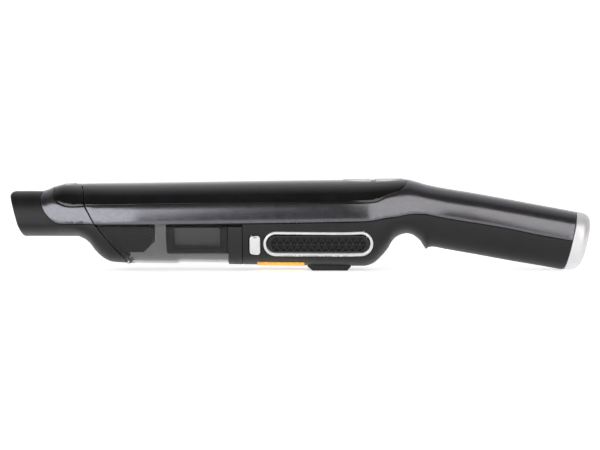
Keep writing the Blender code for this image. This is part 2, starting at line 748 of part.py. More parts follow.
def make_nozzle_door():
    """Nozzle, chin and door plate, moulded in one."""
    rows = [door_section(x) for x in DOOR_XS]
    mesh = grid_mesh("nozzle_door", rows, closed_columns=True)
    item = add_part("nozzle_door", mesh, "matt_plastic")
    thicken(item, 2.2)
    combine(item, FRONT_OF_MOUTH, "DIFFERENCE")
    combine(item, BEHIND_DOOR_LINE, "DIFFERENCE")
    rows = [cup_section(x, 1.0) for x in PLATE_XS]
    plate = add_cutter("door_plate", grid_mesh("door_plate", rows, closed_columns=True, close_ends=True))
    band = shift_line(DOOR_LINE, -0.25) + list(reversed(shift_line(DOOR_LINE, -3.2)))
    combine(plate, side_cutter("door_plate_band", band), "INTERSECT")
    passage = side_cutter("door_passage", duct_inner(-180), 0, 2 * (DUCT_HALF_WIDTH - DUCT_WALL))
    combine(plate, passage, "DIFFERENCE")
    combine(item, plate, "UNION")
    visor = add_cutter("visor_seat", grid_mesh("visor_seat", visor_rows(-1.2)))
    thicken(visor, 1.2 + VISOR + GAP)
    combine(visor, side_cutter("visor_seat_region", visor_region(GAP)), "INTERSECT")
    combine(item, visor, "DIFFERENCE")
    add_hinge(item, "door", [(0, 17.4)], -1)


def visor_rows(inset):
    return upper_patch(xs_between(UPPER_XS, -197, -150), inset)


def visor_region(grow):
    """Outline of the visor in side view."""
    front = [(x - grow, z - grow) for x, z in VISOR_LINE]
    return front + [(-150, 76), (-150, 35.8 - grow)]


def make_visor():
    """Satin cover over the top of the door, with an opening for the gloss inlay."""
    item = add_part("front_visor", grid_mesh("front_visor", visor_rows(0)), "satin_plastic")
    thicken(item, VISOR)
    combine(item, side_cutter("visor_region", visor_region(0)), "INTERSECT")
    combine(item, side_cutter("inlay_opening", inlay_region(0.2)), "DIFFERENCE")
    combine(item, BEHIND_DOOR_LINE, "DIFFERENCE")


def inlay_region(grow):
    front = [(x - grow, z - grow) for x, z in INLAY_LINE]
    return front + [(-150, 76), (-150, 49.4 - grow)]


def make_front_inlay():
    item = add_part("front_inlay", grid_mesh("front_inlay", visor_rows(0)), "gloss_plastic")
    thicken(item, VISOR)
    combine(item, side_cutter("inlay_region", inlay_region(-0.15)), "INTERSECT")
    combine(item, BEHIND_DOOR_LINE, "DIFFERENCE")
    opening = circle(DOOR_BUTTON_RADIUS + GAP, 20, DOOR_BUTTON_X, 0)
    combine(item, top_cutter("door_button_opening", opening, 66), "DIFFERENCE")


def make_door_button():
    item = add_part("door_button", grid_mesh("door_button", visor_rows(-0.5)), "silver_plastic")
    thicken(item, 2.4)
    outline = circle(DOOR_BUTTON_RADIUS, 20, DOOR_BUTTON_X, 0)
    combine(item, top_cutter("door_button_region", outline, 66), "INTERSECT")


def duct_inner(front):
    """Side view of the duct's passage, from a front station to past its open end."""
    wall = DUCT_WALL
    (_, low), (bend_x, _), (rear, bend_z), (_, high), _ = DUCT_OUTLINE
    return [
        (front, low + wall), (bend_x - 0.6, low + wall), (rear - wall, bend_z + 0.6),
        (rear - wall, high - wall), (front, high - wall),
    ]


def make_inlet_duct():
    """Duct that carries the air from the door into the cup; its far end is open."""
    outline = outline_mesh("inlet_duct", [DUCT_OUTLINE], 2 * DUCT_HALF_WIDTH, side_place())
    item = add_part("inlet_duct", outline, "dark_plastic")
    passage = duct_inner(-180)
    combine(item, side_cutter("duct_passage", passage, 0, 2 * (DUCT_HALF_WIDTH - DUCT_WALL)), "DIFFERENCE")
    exit_box = box_mesh("duct_exit", (-118, -100), (-11, 11), (24, 44))
    combine(item, add_cutter("duct_exit", exit_box), "DIFFERENCE")
    combine(item, side_cutter("duct_front", beyond(DOOR_LINE, 0.1, -1)), "DIFFERENCE")


def make_inlet_flap():
    """Rubber flap that hangs in the duct and swings open toward the cup."""
    plate = box_mesh("inlet_flap", (FLAP_X - 0.5, FLAP_X + 0.5), (-12.4, 12.4), (FLAP_BOTTOM, FLAP_Z - 0.4))
    item = add_part("inlet_flap", plate, "rubber")
    roll = add_cutter("flap_roll", rod_mesh("flap_roll", 1.0, 24.8, 8, along_y(FLAP_X, 0, FLAP_Z - 0.2)))
    combine(item, roll, "UNION")


def make_door_seal():
    rows = [cup_section(x, CUP_WALL + 1.2, 1.4) for x in CUP_XS[:8]]
    item = add_part("door_seal", grid_mesh("door_seal", rows, closed_columns=True), "rubber")
    thicken(item, 0.9)
    combine(item, side_cutter("seal_front", beyond(DOOR_LINE, 0.1, -1)), "DIFFERENCE")
    combine(item, side_cutter("seal_rear", beyond(DOOR_LINE, 3.0, 1)), "DIFFERENCE")


# ---------------------------------------------------------------- filter

def make_filter():
    front, rear, radius = FILTER_FRONT, CUP_REAR, FILTER_RADIUS
    cage = [
        (front, 0), (front, radius), (rear, radius), (rear, radius - 2), (front + 2, radius - 2),
        (front + 2, 0),
    ]
    item = turned("filter_cage", list(reversed(cage)), FILTER_Z, "dark_plastic", 28, closed=False)
    for index, angle in enumerate((30, -30)):
        place = Matrix.Translation((0, 0, FILTER_Z * MM)) @ Matrix.Rotation(math.radians(angle), 4, "X")
        window = box_mesh("window", (front + 6.4, rear - 6), (-30, 30), (-9.3, 9.3), place)
        combine(item, add_cutter(f"filter_window_{index}", window), "DIFFERENCE")
    ring("filter_screen", front + 3, rear - 0.5, radius - 3.2, radius - 2.4, FILTER_Z, "steel", 28)
    make_pleats(front + 3, rear - 0.5, 12.5, radius - 3.7)
    ring("filter_gasket", rear + GAP, rear + 2.2, radius - 5, radius, FILTER_Z, "rubber", 28)


def make_pleats(x0, x1, inner, outer):
    """Pleated filter: a folded wall, closed on itself round the axis."""
    wall = 0.9
    outside = []
    inside = []
    for index in range(2 * PLEATS):
        turn = math.pi * index / PLEATS
        reach = outer if index % 2 == 0 else inner + wall
        outside.append((reach * math.cos(turn), reach * math.sin(turn)))
        reach = outer - 2.6 if index % 2 == 0 else inner - 0.9
        inside.append((reach * math.cos(turn), reach * math.sin(turn)))
    mesh = outline_mesh("filter_pleats", [outside, inside], x1 - x0, cross_place((x0 + x1) / 2, FILTER_Z))
    add_part("filter_pleats", mesh, "filter_cloth")


# ---------------------------------------------------------------- motor

def make_bulkhead():
    turns = spread(0, 360, 25)[:-1]
    rows = [[body_point(x, turn, SHELL + 0.7) for turn in turns] for x in (BODY_FRONT, BODY_FRONT + 2.3)]
    mesh = grid_mesh("front_bulkhead", rows, closed_columns=True, close_ends=True)
    item = add_part("front_bulkhead", mesh, "dark_plastic")
    for index, y in enumerate((-9, -3, 3, 9)):
        half = math.sqrt(13.5 ** 2 - y ** 2)
        slot = box_mesh("slot", (-50, -30), (y - 2.1, y + 2.1), (MOTOR_Z - half, MOTOR_Z + half))
        combine(item, add_cutter(f"intake_slot_{index}", slot), "DIFFERENCE")
    ring("bulkhead_seal", -42.4, BODY_FRONT - GAP, 15.5, 18.5, MOTOR_Z, "rubber", 24)


def impeller_outline():
    """Hub with swept-back blades, as one outline."""
    points = []
    blades = 9
    for index in range(blades):
        start = 2 * math.pi * index / blades
        for radius, turn in ((6, 0), (13, 0.35), (21.5, 0.95), (21.7, 1.03), (13.2, 0.52), (6, 0.3)):
            points.append((radius * math.cos(start + turn), radius * math.sin(start + turn)))
    return points


def make_motor():
    shroud = [
        (-36, 11), (-36, 23.5), (-33, 26), (-15, 26), (-15, 24.8), (-32.4, 24.8), (-34.8, 22.8),
        (-34.8, 11),
    ]
    turned("fan_shroud", list(reversed(shroud)), MOTOR_Z, "dark_plastic", 28)
    blades = outline_mesh("impeller", [impeller_outline(), circle(2.8, 12)], 9, cross_place(-26.5, MOTOR_Z))
    impeller = add_part("impeller", blades, "matt_plastic")
    disc = outline_mesh("impeller_disc", [circle(22.5, 28), circle(2.8, 12)], 2, cross_place(-22, MOTOR_Z))
    combine(impeller, add_cutter("impeller_disc", disc), "UNION")
    add_part("rotor_shaft", rod_mesh("rotor_shaft", 2.5, 60, 12, along_x(-1, 0, MOTOR_Z)), "steel")
    ring("rotor_magnet", -3, 17, 2.8, 8.6, MOTOR_Z, "steel", 16)
    ring("motor_stator", -4, 18, 9.4, 16.6, MOTOR_Z, "copper", 18)
    can = [
        (-10.6, 17.6), (-10.6, 5), (-12, 5), (-12, 19), (26, 19), (26, 5), (24.6, 5), (24.6, 17.6),
    ]
    turned("motor_can", list(reversed(can)), MOTOR_Z, "steel", 24)
    ring("bearing_front", -12, -9.2, 2.8, 4.7, MOTOR_Z, "steel", 12)
    ring("bearing_rear", 23.2, 26, 2.8, 4.7, MOTOR_Z, "steel", 12)
    ring("motor_mount_front", -8, -3, 19.3, 24, MOTOR_Z, "rubber", 20)
    ring("motor_mount_rear", 17, 22, 19.3, 24, MOTOR_Z, "rubber", 20)
    ring("motor_board", 30.5, 31.8, 4, 17, MOTOR_Z, "board_green", 20)


# ---------------------------------------------------------------- electronics

def make_electronics():
    add_part("control_board", box_mesh("control_board", (30, 82), (-11, 11), (57.4, 58.8)), "board_green")
    for name, x in (("power_switch", 43), ("mode_switch", 66.9)):
        add_part(name, box_mesh(name, (x - 3, x + 3), (-3, 3), (59.1, 62.4)), "dark_plastic")
    for index, sign in enumerate((1, -1)):
        name = f"battery_cell_{index + 1}"
        place = pack_place(0, sign * CELL_OFFSET) @ Matrix.Rotation(math.pi / 2, 4, "Y")
        add_part(name, rod_mesh(name, CELL_RADIUS, CELL_LENGTH, 18, place), "cell_blue")
    turn = Matrix(((0, 0, 1, 0), (1, 0, 0, 0), (0, 1, 0, 0), (0, 0, 0, 1)))
    outline = [(v, u) for u, v in obround(0, 0, 37.6, 21)]
    for name, sign in (("cell_holder_front", -1), ("cell_holder_rear", 1)):
        place = pack_place(sign * (CELL_LENGTH / 2 + 1.6)) @ turn
        add_part(name, outline_mesh(name, [outline], 2.4, place), "dark_plastic")
    board = box_mesh("battery_board", (-28, 28), (9.8, 11.2), (-8, 8), pack_place())
    add_part("battery_board", board, "board_green")
    for name, y, material in (("battery_lead_red", 4, "lead_red"), ("battery_lead_black", -4, "rubber")):
        route = [(106, 42), (100, 44), (94, 47.5), (89, 51), (84, 54)]
        add_part(name, lead_mesh(name, [Vector((x, y, z)) for x, z in route], 1.1), material)


def lead_mesh(name, points, radius):
    curve = bpy.data.curves.new(name, "CURVE")
    curve.dimensions = "3D"
    curve.bevel_depth = radius * MM
    curve.bevel_resolution = 1
    curve.use_fill_caps = True
    spline = curve.splines.new("POLY")
    spline.points.add(len(points) - 1)
    for point, place in zip(spline.points, points):
        point.co = (*(place * MM), 1)
    return mesh_of_curve(curve, Matrix())


clear_scene()
PARTS = new_collection("handheld_vacuum")
CUTTERS = new_collection("cutters")
make_materials()

FRONT_OF_DOOR_LINE = side_cutter("front_of_door_line", beyond(DOOR_LINE, 0.25, -1))
BEHIND_DOOR_LINE = side_cutter("behind_door_line", beyond(DOOR_LINE, -0.25, 1))
FRONT_OF_MOUTH = side_cutter("front_of_mouth", beyond(MOUTH_LINE, 0, -1))
BEHIND_HANDLE = side_cutter("behind_handle", beyond(HANDLE_END_LINE, 0, 1))
BUTTON_OPENINGS = [
    top_cutter(f"{name}_opening", oval_outline(low, high, GAP))
    for name, (low, high) in BUTTON_SPANS.items()
]

make_upper_housing()
make_top_panel()
make_lower_housing()
make_side_pieces()
make_top_buttons()
make_label()
make_charging_block()
make_handle_end_cap()
make_screws()
make_dust_cup()
make_cup_ring()
make_hinge_pin()
make_nozzle_door()
make_visor()
make_front_inlay()
make_door_button()
make_inlet_duct()
make_inlet_flap()
make_door_seal()
make_filter()
make_bulkhead()
make_motor()
make_electronics()

add_pivot("cup_slide", (CUP_REAR, 0, FILTER_Z), ["dust_cup", "cup_rear_ring", "hinge_pin"])
add_pivot(
    "filter_slide", (CUP_REAR, 0, FILTER_Z),
    ["filter_cage", "filter_screen", "filter_pleats", "filter_gasket"],
)
add_pivot(
    "door_hinge", (HINGE_X, 0, HINGE_Z),
    ["nozzle_door", "front_visor", "front_inlay", "inlet_duct", "door_seal"],
)
add_pivot("flap_hinge", (FLAP_X, 0, FLAP_Z), ["inlet_flap"])
add_pivot("rotor_spin", (0, 0, MOTOR_Z), ["rotor_shaft", "rotor_magnet", "impeller"])
add_pivot("door_press", (DOOR_BUTTON_X, 0, crown(DOOR_BUTTON_X)), ["door_button"])
add_pivot("release_press_left", (RELEASE_X, -half_width(RELEASE_X), RELEASE_Z), ["release_button_left"])
add_pivot("release_press_right", (RELEASE_X, half_width(RELEASE_X), RELEASE_Z), ["release_button_right"])
for button, (start, end) in BUTTON_SPANS.items():
    middle = (start + end) / 2
    add_pivot(button.replace("button", "press"), (middle, 0, crown(middle)), [button])
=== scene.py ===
"""Looks of the handheld vacuum: fine skins, materials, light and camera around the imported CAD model.

Lengths below are millimetres in the CAD's frame, and MM turns them into metres. The form functions
repeat the ones that shape the CAD solids, so that each fine piece lies where its solid does.
"""

import math

import bmesh
import bpy
import numpy as np
from mathutils import Matrix, Vector
from mathutils.geometry import delaunay_2d_cdt


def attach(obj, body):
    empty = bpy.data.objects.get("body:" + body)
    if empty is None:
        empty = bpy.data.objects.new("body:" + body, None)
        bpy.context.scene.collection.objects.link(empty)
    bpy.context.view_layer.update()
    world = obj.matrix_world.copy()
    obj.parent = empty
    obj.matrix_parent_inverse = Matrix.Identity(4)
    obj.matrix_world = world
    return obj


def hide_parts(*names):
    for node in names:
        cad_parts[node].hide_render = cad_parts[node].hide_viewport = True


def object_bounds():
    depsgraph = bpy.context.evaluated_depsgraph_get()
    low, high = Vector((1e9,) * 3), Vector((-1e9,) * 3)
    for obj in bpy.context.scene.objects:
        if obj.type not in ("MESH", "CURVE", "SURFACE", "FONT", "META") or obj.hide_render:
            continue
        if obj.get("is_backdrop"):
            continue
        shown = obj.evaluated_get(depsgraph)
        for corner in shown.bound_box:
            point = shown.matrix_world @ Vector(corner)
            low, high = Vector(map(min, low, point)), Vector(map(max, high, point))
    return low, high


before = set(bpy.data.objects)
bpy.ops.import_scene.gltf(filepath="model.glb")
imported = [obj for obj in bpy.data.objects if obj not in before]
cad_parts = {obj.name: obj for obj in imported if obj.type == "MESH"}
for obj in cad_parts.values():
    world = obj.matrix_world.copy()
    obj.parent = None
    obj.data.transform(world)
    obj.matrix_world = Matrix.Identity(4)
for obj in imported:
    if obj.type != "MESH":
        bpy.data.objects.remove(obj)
cad_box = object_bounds()

MM = 0.001
GAP = 0.3
DOOR_GAP = 0.25

# ---------------------------------------------------------------- outer form

HALF_WIDTH = [
    (-222, 20), (-197, 20), (-190, 20.6), (-184, 21.9), (-176, 24.3), (-168, 26.8), (-160, 28.9),
    (-150, 30.8), (-138, 32.2), (-118, 33), (30, 33), (50, 32.2), (65, 29), (80, 25.2), (95, 22.8),
    (110, 21.8), (136, 21.5), (222, 20.8),
]
CROWN = [
    (-197, 59.4), (-192, 60.2), (-184, 63.2), (-177, 64.8), (-165, 65.2), (-113, 65.9), (-75, 66.5),
    (0, 67.6), (34, 68), (78, 68.6), (87.6, 66.7), (95, 64.5), (136, 57.2), (207, 44.1), (222, 41.3),
]
WIDEST = [
    (-222, 35.6), (-151, 35.6), (-44, 36.4), (42, 37.8), (50, 38), (64.5, 40.3), (74, 41.4),
    (79, 42.5), (86, 43.1), (93.5, 42.8), (100.5, 41.4), (115, 38.7), (134, 35.7), (157, 31.7),
    (179, 27.1), (202, 23.1), (222, 19.2),
]
BELLY = [
    (-222, 25.5), (-167.5, 25.5), (-163, 24), (-158, 20.5), (-153, 14), (-147, 8.9), (-141, 6.4),
    (-130, 5.7), (-93, 5.1), (-41, 4.4), (48, 3.2), (55, 5.2), (60.6, 9.8), (66, 16.1),
    (69.6, 22.3), (73.2, 25.5), (77, 27.1), (80.4, 27.7), (84, 27), (87.7, 24.8), (91.3, 21.5),
    (95.2, 15.6), (97.1, 17.2), (99.2, 17.5), (109.3, 15.8), (136, 11.1), (159, 6.9), (182, 3.1),
    (198, 0.4), (205, 0), (222, 0),
]
UPPER_POWER = 2.3
LOWER_POWER = [
    (-222, 1.6), (-175, 1.7), (-160, 2.1), (-140, 2.7), (-120, 2.8), (45, 2.8), (75, 2.3), (222, 2.2),
]

# Lines of the side view, as (x, z): where the pieces of the skin meet.
DOOR_LINE = [
    (-119, -4.7), (-127.6, 5.7), (-152.3, 35.5), (-159.3, 48.4), (-160.8, 53.7), (-161.4, 60),
    (-164, 66), (-168, 76),
]
MOUTH_LINE = [(-205.2, 16.5), (-222.9, 76)]
HANDLE_END_LINE = [(195.7, -10), (215.1, 76)]
PANEL_LINE = [
    (-172, 49.2), (-162, 49.5), (-75, 51.3), (0, 51.7), (34, 51.5), (50, 51.9), (57.6, 52.9),
    (64, 56.5), (74.3, 60.9), (79.7, 66.7), (80.5, 76),
]
VISOR_LINE = [
    (-176, 35.8), (-180.3, 36.1), (-186, 39.3), (-190.5, 44.4), (-193.3, 50.8), (-194, 56.5),
    (-192.6, 59.6), (-191, 76),
]
INLAY_LINE = [(-157, 49.4), (-176, 49.5), (-179, 50.8), (-183.3, 54.4), (-184, 61), (-184, 76)]

SHELL = 2.6
PANEL = 1.2
VISOR = 1.3
CUP_WALL = 1.8
RING_WALL = 2.0
DOOR_WALL = 2.2
CUP_TOP = 34.0
CUP_ARCH_BASE = 34.8
CUP_ARCH_WIDTH = 25.4
CUP_ARCH_TOP = 62.2
CUP_REAR = -53.6
RING_REAR = -42.8
BODY_FRONT = -42.5
NOZZLE_HALF_WIDTH = 20
NOZZLE_TOP = 59.5
NOZZLE_LEDGE = 35.4
FILTER_Z = 35.2
FILTER_RADIUS = 23
FILTER_FRONT = -100
VENT_X = 13.6
VENT_Z = 21.3
VENT_LENGTH = 81.6
VENT_HEIGHT = 18.6
TRIM_WIDTH = 2.1
VENT_TILT = 15
HOLE_PITCH = 5.12
HOLE_COLUMNS = 14
HOLE_BASE = 4.0
HOLE_HEIGHT = 4.4
HOLE_ROW = 2.8
HOLE_STAGGER = 0.24
RELEASE_X = -33.4
RELEASE_Z = 20.2
RELEASE_HALF_LENGTH = 4.25
RELEASE_HALF_HEIGHTS = (6.9, 7.85)
RELEASE_CORNER = 2.4
BLOCK_SPAN = (5.3, 38.6)
BLOCK_HALF_WIDTH = 11.3
SCREW_PLACES = [(0, 0), (103, 0), (190, 0)]
SCREW_RADIUS = 2.6
LABEL_SPAN = (-31.8, 3.3)
LABEL_TURNS = (272.0, 301.0)
OVAL_X = 54.8
OVAL_HALF_LENGTH = 22.4
OVAL_HALF_WIDTH = 11
BUTTON_SPANS = {"power_button": (32.4, 53.6), "mode_button": (56.6, 77.2)}
DOOR_BUTTON_X = -173
DOOR_BUTTON_RADIUS = 5
VISOR_LOW = 35.8
HINGE_X = -128.0
HINGE_Z = 7.3
HINGE_NOTCH = 2.3
HINGE_WIDTH = 37
BARREL_RADIUS = 1.7
BARREL_BORE = 1.15

# Counts that set how fine the charts and rings are, and how often a search for a crossing repeats.
TURN_STEPS = 720
ARCH_COLUMNS = 61
FORM_COLUMNS = 97
END_COLUMNS = 180
ROUNDS = 90


def hermite(t, ends, slopes, length):
    """The cubic between two ends with these slopes, at share t of the length."""
    level = ends[0] * (1 + 2 * t) * (1 - t) ** 2 + ends[1] * t * t * (3 - 2 * t)
    bend = slopes[0] * t * (1 - t) ** 2 - slopes[1] * t * t * (1 - t)
    return level + bend * length


def curve_through(points):
    """Return a smooth function through the points that never overshoots them. It takes arrays."""
    xs, values = np.array(points, float).T
    steps = np.diff(xs)
    rates = np.diff(values) / steps
    slopes = np.zeros(len(xs))
    for i in range(1, len(xs) - 1):
        if rates[i - 1] * rates[i] > 0:
            before = 2 * steps[i] + steps[i - 1]
            after = steps[i] + 2 * steps[i - 1]
            slopes[i] = (before + after) / (before / rates[i - 1] + after / rates[i])
    slopes[0] = rates[0]
    slopes[-1] = rates[-1]

    def value_at(x):
        i = np.clip(np.searchsorted(xs, x) - 1, 0, len(steps) - 1)
        t = np.clip((x - xs[i]) / steps[i], 0, 1)
        return hermite(t, (values[i], values[i + 1]), (slopes[i], slopes[i + 1]), steps[i])

    return value_at


half_width = curve_through(HALF_WIDTH)
crown = curve_through(CROWN)
widest = curve_through(WIDEST)
belly = curve_through(BELLY)
lower_power = curve_through(LOWER_POWER)
cup_lift = curve_through([(-92, 0), (-89.5, 1.2), (-50, 1.2)])


def spread(start, end, count):
    return [float(value) for value in np.linspace(start, end, count)]


def form_points(x, turn, inset=0.0, lift=0.0):
    """Points of the outer form: turn 0 is the -Y side, 90 the crown, 180 the +Y side, 270 the belly."""
    x, turn = np.broadcast_arrays(np.asarray(x, float), np.asarray(turn, float))
    side = np.cos(np.radians(turn))
    up = np.abs(np.sin(np.radians(turn)))
    above = turn <= 180
    power = np.where(above, UPPER_POWER, lower_power(x))
    rise = np.where(above, crown(x) - widest(x) - inset, belly(x) + lift + inset - widest(x))
    y = -np.sign(side) * np.abs(side) ** (2 / power) * (half_width(x) - inset)
    return np.stack([x, y, widest(x) + up ** (2 / power) * rise], axis=-1)


def form_value(x, y, z):
    """A function that is 1 on the outer form and grows outward."""
    middle = widest(x)
    above = z >= middle
    rise = np.where(above, crown(x) - middle, middle - belly(x))
    power = np.where(above, UPPER_POWER, lower_power(x))
    return (np.abs(y) / half_width(x)) ** power + (np.abs(z - middle) / rise) ** power


def form_normals(points, step=0.03):
    x, y, z = points.T
    slope = np.stack([
        form_value(x + step, y, z) - form_value(x - step, y, z),
        form_value(x, y + step, z) - form_value(x, y - step, z),
        form_value(x, y, z + step) - form_value(x, y, z - step),
    ], axis=-1)
    return slope / np.linalg.norm(slope, axis=-1, keepdims=True)


class Chart:
    """Half of the outer form unrolled: (x, s), where s is the way round from the crown or the belly."""

    def __init__(self, first_turn):
        self.first_turn = first_turn
        self.low = -226.0
        self.turns = first_turn + np.linspace(0, 180, TURN_STEPS + 1)
        stations = np.arange(self.low, 227.0)
        points = form_points(stations[:, None], self.turns[None, :])
        steps = np.linalg.norm(np.diff(points, axis=1), axis=-1)
        lengths = np.concatenate([np.zeros((len(stations), 1)), np.cumsum(steps, axis=1)], axis=1)
        middle = TURN_STEPS // 2
        self.ways = lengths - lengths[:, middle:middle + 1]

    def _blend(self, x, read):
        """Blend what read finds at the stations before and after each x."""
        place = np.clip(np.asarray(x, float) - self.low, 0, len(self.ways) - 1.001)
        index = place.astype(int)
        share = place - index
        before = np.array([read(i, k) for k, i in enumerate(index)])
        after = np.array([read(i + 1, k) for k, i in enumerate(index)])
        return before * (1 - share) + after * share

    def way(self, x, turn):
        return self._blend(x, lambda i, k: np.interp(turn[k], self.turns, self.ways[i]))

    def turn(self, x, way):
        return self._blend(x, lambda i, k: np.interp(way[k], self.ways[i], self.turns))

    def edge(self, x, side, inset=0.0):
        """The seam at each x: side -1 is the low end of s, 1 the high end."""
        turn = np.full(len(x), self.first_turn + (0.0 if side < 0 else 180.0))
        return self.way(x, turn) - side * inset

    def from_side(self, outline, side):
        """Chart points of a side-view outline on the -Y side (side -1) or the +Y side (1)."""
        x, z = np.array(outline, float).T
        middle = widest(x)
        if self.first_turn == 0:
            share = np.clip((z - middle) / (crown(x) - middle), 0, 1)
            angle = np.degrees(np.arcsin(share ** (UPPER_POWER / 2)))
            turn = angle if side < 0 else 180 - angle
        else:
            share = np.clip((middle - z) / (middle - belly(x)), 0, 1)
            angle = np.degrees(np.arcsin(share ** (lower_power(x) / 2)))
            turn = 360 - angle if side < 0 else 180 + angle
        return np.stack([x, self.way(x, turn)], axis=-1)

    def from_plan(self, outline):
        """Chart points of an outline seen from above or below, as (x, y)."""
        x, y = np.array(outline, float).T
        power = UPPER_POWER if self.first_turn == 0 else lower_power(x)
        share = np.clip(np.abs(y) / half_width(x), 0, 1)
        angle = np.degrees(np.arccos(share ** (power / 2)))
        if self.first_turn == 0:
            turn = np.where(y < 0, angle, 180 - angle)
        else:
            turn = np.where(y < 0, 360 - angle, 180 + angle)
        return np.stack([x, self.way(x, turn)], axis=-1)


UPPER = Chart(0)
LOWER = Chart(180)


def line_x(line, z):
    """The x of a side-view line at height z."""
    xs, zs = np.array(line, float).T
    return np.interp(z, zs, xs)


def crossing(line, turns, dx=0.0):
    """Stations at which the outer form meets a side-view line, at each turn."""
    turns = np.asarray(turns, float)
    x = line_x(line, np.full(len(turns), 36.0)) + dx
    for _ in range(ROUNDS):
        z = form_points(x, turns)[:, 2]
        x = 0.5 * x + 0.5 * (line_x(line, z) + dx)
    return x


def smooth(points, spacing=1.0):
    """Points along a smooth curve through the given ones."""
    points = np.array(points, float)
    chords = np.linalg.norm(np.diff(points, axis=0), axis=1)
    at = np.concatenate([[0], np.cumsum(chords)])
    slopes = np.gradient(points, at, axis=0)
    found = [points[0]]
    for i, chord in enumerate(chords):
        for t in spread(0, 1, max(2, int(chord / spacing) + 2))[1:]:
            found.append(hermite(t, points[i:i + 2], slopes[i:i + 2], chord))
    return np.array(found)


def even(points, spacing=1.0):
    """Points at even spacing along a polyline, its two ends kept."""
    points = np.array(points, float)
    at = np.concatenate([[0], np.cumsum(np.linalg.norm(np.diff(points, axis=0), axis=1))])
    count = max(2, int(round(at[-1] / spacing)) + 1)
    places = np.linspace(0, at[-1], count)
    return np.stack([np.interp(places, at, points[:, k]) for k in (0, 1)], axis=-1)


def loop_of(*sides, spacing=1.0):
    """Closed loop from polylines that follow on from each other."""
    return np.concatenate([even(side, spacing)[:-1] for side in sides])


def even_loop(points, spacing=0.8):
    points = np.array(points, float)
    return even(np.concatenate([points, points[:1]]), spacing)[:-1]


def signed_area(loop):
    x, y = loop.T
    return 0.5 * float(np.sum(x * np.roll(y, -1) - np.roll(x, -1) * y))


def turned_round(loop, anticlockwise):
    return loop if (signed_area(loop) > 0) == anticlockwise else loop[::-1]


def inset_loop(loop, distance):
    """Move a loop to its left by a distance."""
    ahead = np.roll(loop, -1, axis=0) - loop
    ahead /= np.linalg.norm(ahead, axis=1, keepdims=True)
    left = np.stack([-ahead[:, 1], ahead[:, 0]], axis=-1)
    both = left + np.roll(left, 1, axis=0)
    both /= np.linalg.norm(both, axis=1, keepdims=True)
    reach = 1 / np.clip(np.sum(both * left, axis=1, keepdims=True), 0.6, 1)
    return loop + both * reach * distance


def inside(points, loops):
    """Whether each point is within the region that the loops bound."""
    starts = np.concatenate(loops)
    ends = np.concatenate([np.roll(loop, -1, axis=0) for loop in loops])
    found = np.zeros(len(points), bool)
    for k in range(0, len(points), 2000):
        x, y = points[k:k + 2000, 0:1], points[k:k + 2000, 1:2]
        spans = (starts[None, :, 1] > y) != (ends[None, :, 1] > y)
        rise = np.where(ends[:, 1] == starts[:, 1], 1e-12, ends[:, 1] - starts[:, 1])
        meets = starts[None, :, 0] + (y - starts[None, :, 1]) / rise * (ends - starts)[None, :, 0]
        found[k:k + 2000] = (np.sum(spans & (x < meets), axis=1) % 2).astype(bool)
    return found


def edges_of(face):
    return [frozenset(pair) for pair in zip(face, face[1:] + face[:1])]


def regions(faces, walls):
    """Group triangles that meet across edges which aren't walls."""
    sides = {}
    for f, face in enumerate(faces):
        for edge in edges_of(face):
            sides.setdefault(edge, []).append(f)
    left = set(range(len(faces)))
    while left:
        found = [left.pop()]
        for f in found:
            for edge in edges_of(faces[f]):
                if edge not in walls:
                    near = [g for g in sides[edge] if g in left]
                    left.difference_update(near)
                    found += near
        yield found


def fill(loops, spacing):
    """Triangulate the region between loops. Returns the inner points and triangles of point numbers."""
    border = np.concatenate(loops)
    (x0, y0), (x1, y1) = border.min(axis=0), border.max(axis=0)
    xs = np.arange(x0 + spacing / 2, x1, spacing)
    ys = np.arange(y0 + spacing / 2, y1, spacing)
    field = np.stack(np.meshgrid(xs, ys), axis=-1).reshape(-1, 2)
    field = field[inside(field, loops)]
    if len(field):
        nearest = np.concatenate([
            np.min(np.linalg.norm(field[k:k + 500, None] - border[None], axis=-1), axis=1)
            for k in range(0, len(field), 500)
        ])
        field = field[nearest > 0.55 * spacing]
    edges, start = [], 0
    for loop in loops:
        count = len(loop)
        edges += [(start + i, start + (i + 1) % count) for i in range(count)]
        start += count
    points = np.concatenate([border, field])
    made = delaunay_2d_cdt([Vector(p) for p in points], edges, [], 0, 1e-7, True)
    number, extra = [], []
    for place, origin in zip(made[0], made[3]):
        number.append(origin[0] if origin else len(points) + len(extra))
        if not origin:
            extra.append(tuple(place))
    field = np.concatenate([field, np.array(extra).reshape(-1, 2)])
    points = np.concatenate([border, field])
    faces = [[number[i] for i in face] for face in made[2]]
    walls = {frozenset(number[i] for i in edge) for edge, source in zip(made[1], made[4]) if source}
    kept = []
    for region in regions(faces, walls):
        largest = max(region, key=lambda f: abs(signed_area(points[faces[f]])))
        if inside(points[faces[largest]].mean(axis=0)[None], loops)[0]:
            kept += [faces[f] for f in sorted(region)]
    return field, kept


# ---------------------------------------------------------------- objects

def new_object(name, data):
    item = bpy.data.objects.new(name, data)
    bpy.context.scene.collection.objects.link(item)
    return item


def baked(item):
    """Take an object away and return its mesh with its modifiers applied."""
    bpy.context.view_layer.update()
    graph = bpy.context.evaluated_depsgraph_get()
    mesh = bpy.data.meshes.new_from_object(item.evaluated_get(graph))
    bpy.data.objects.remove(item, do_unlink=True)
    return mesh


def add_object(name, mesh, body, replaces, slot, finish=None, sharp=40):
    """Add a piece that rides on a body and stands for CAD nodes. Its finish is its slot's by default."""
    mesh.name = name
    item = new_object(name, mesh)
    mesh.materials.clear()
    mesh.materials.append(M[finish or slot])
    mesh.shade_smooth()
    mesh.set_sharp_from_angle(angle=math.radians(sharp))
    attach(item, body)
    if replaces:
        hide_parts(*replaces)


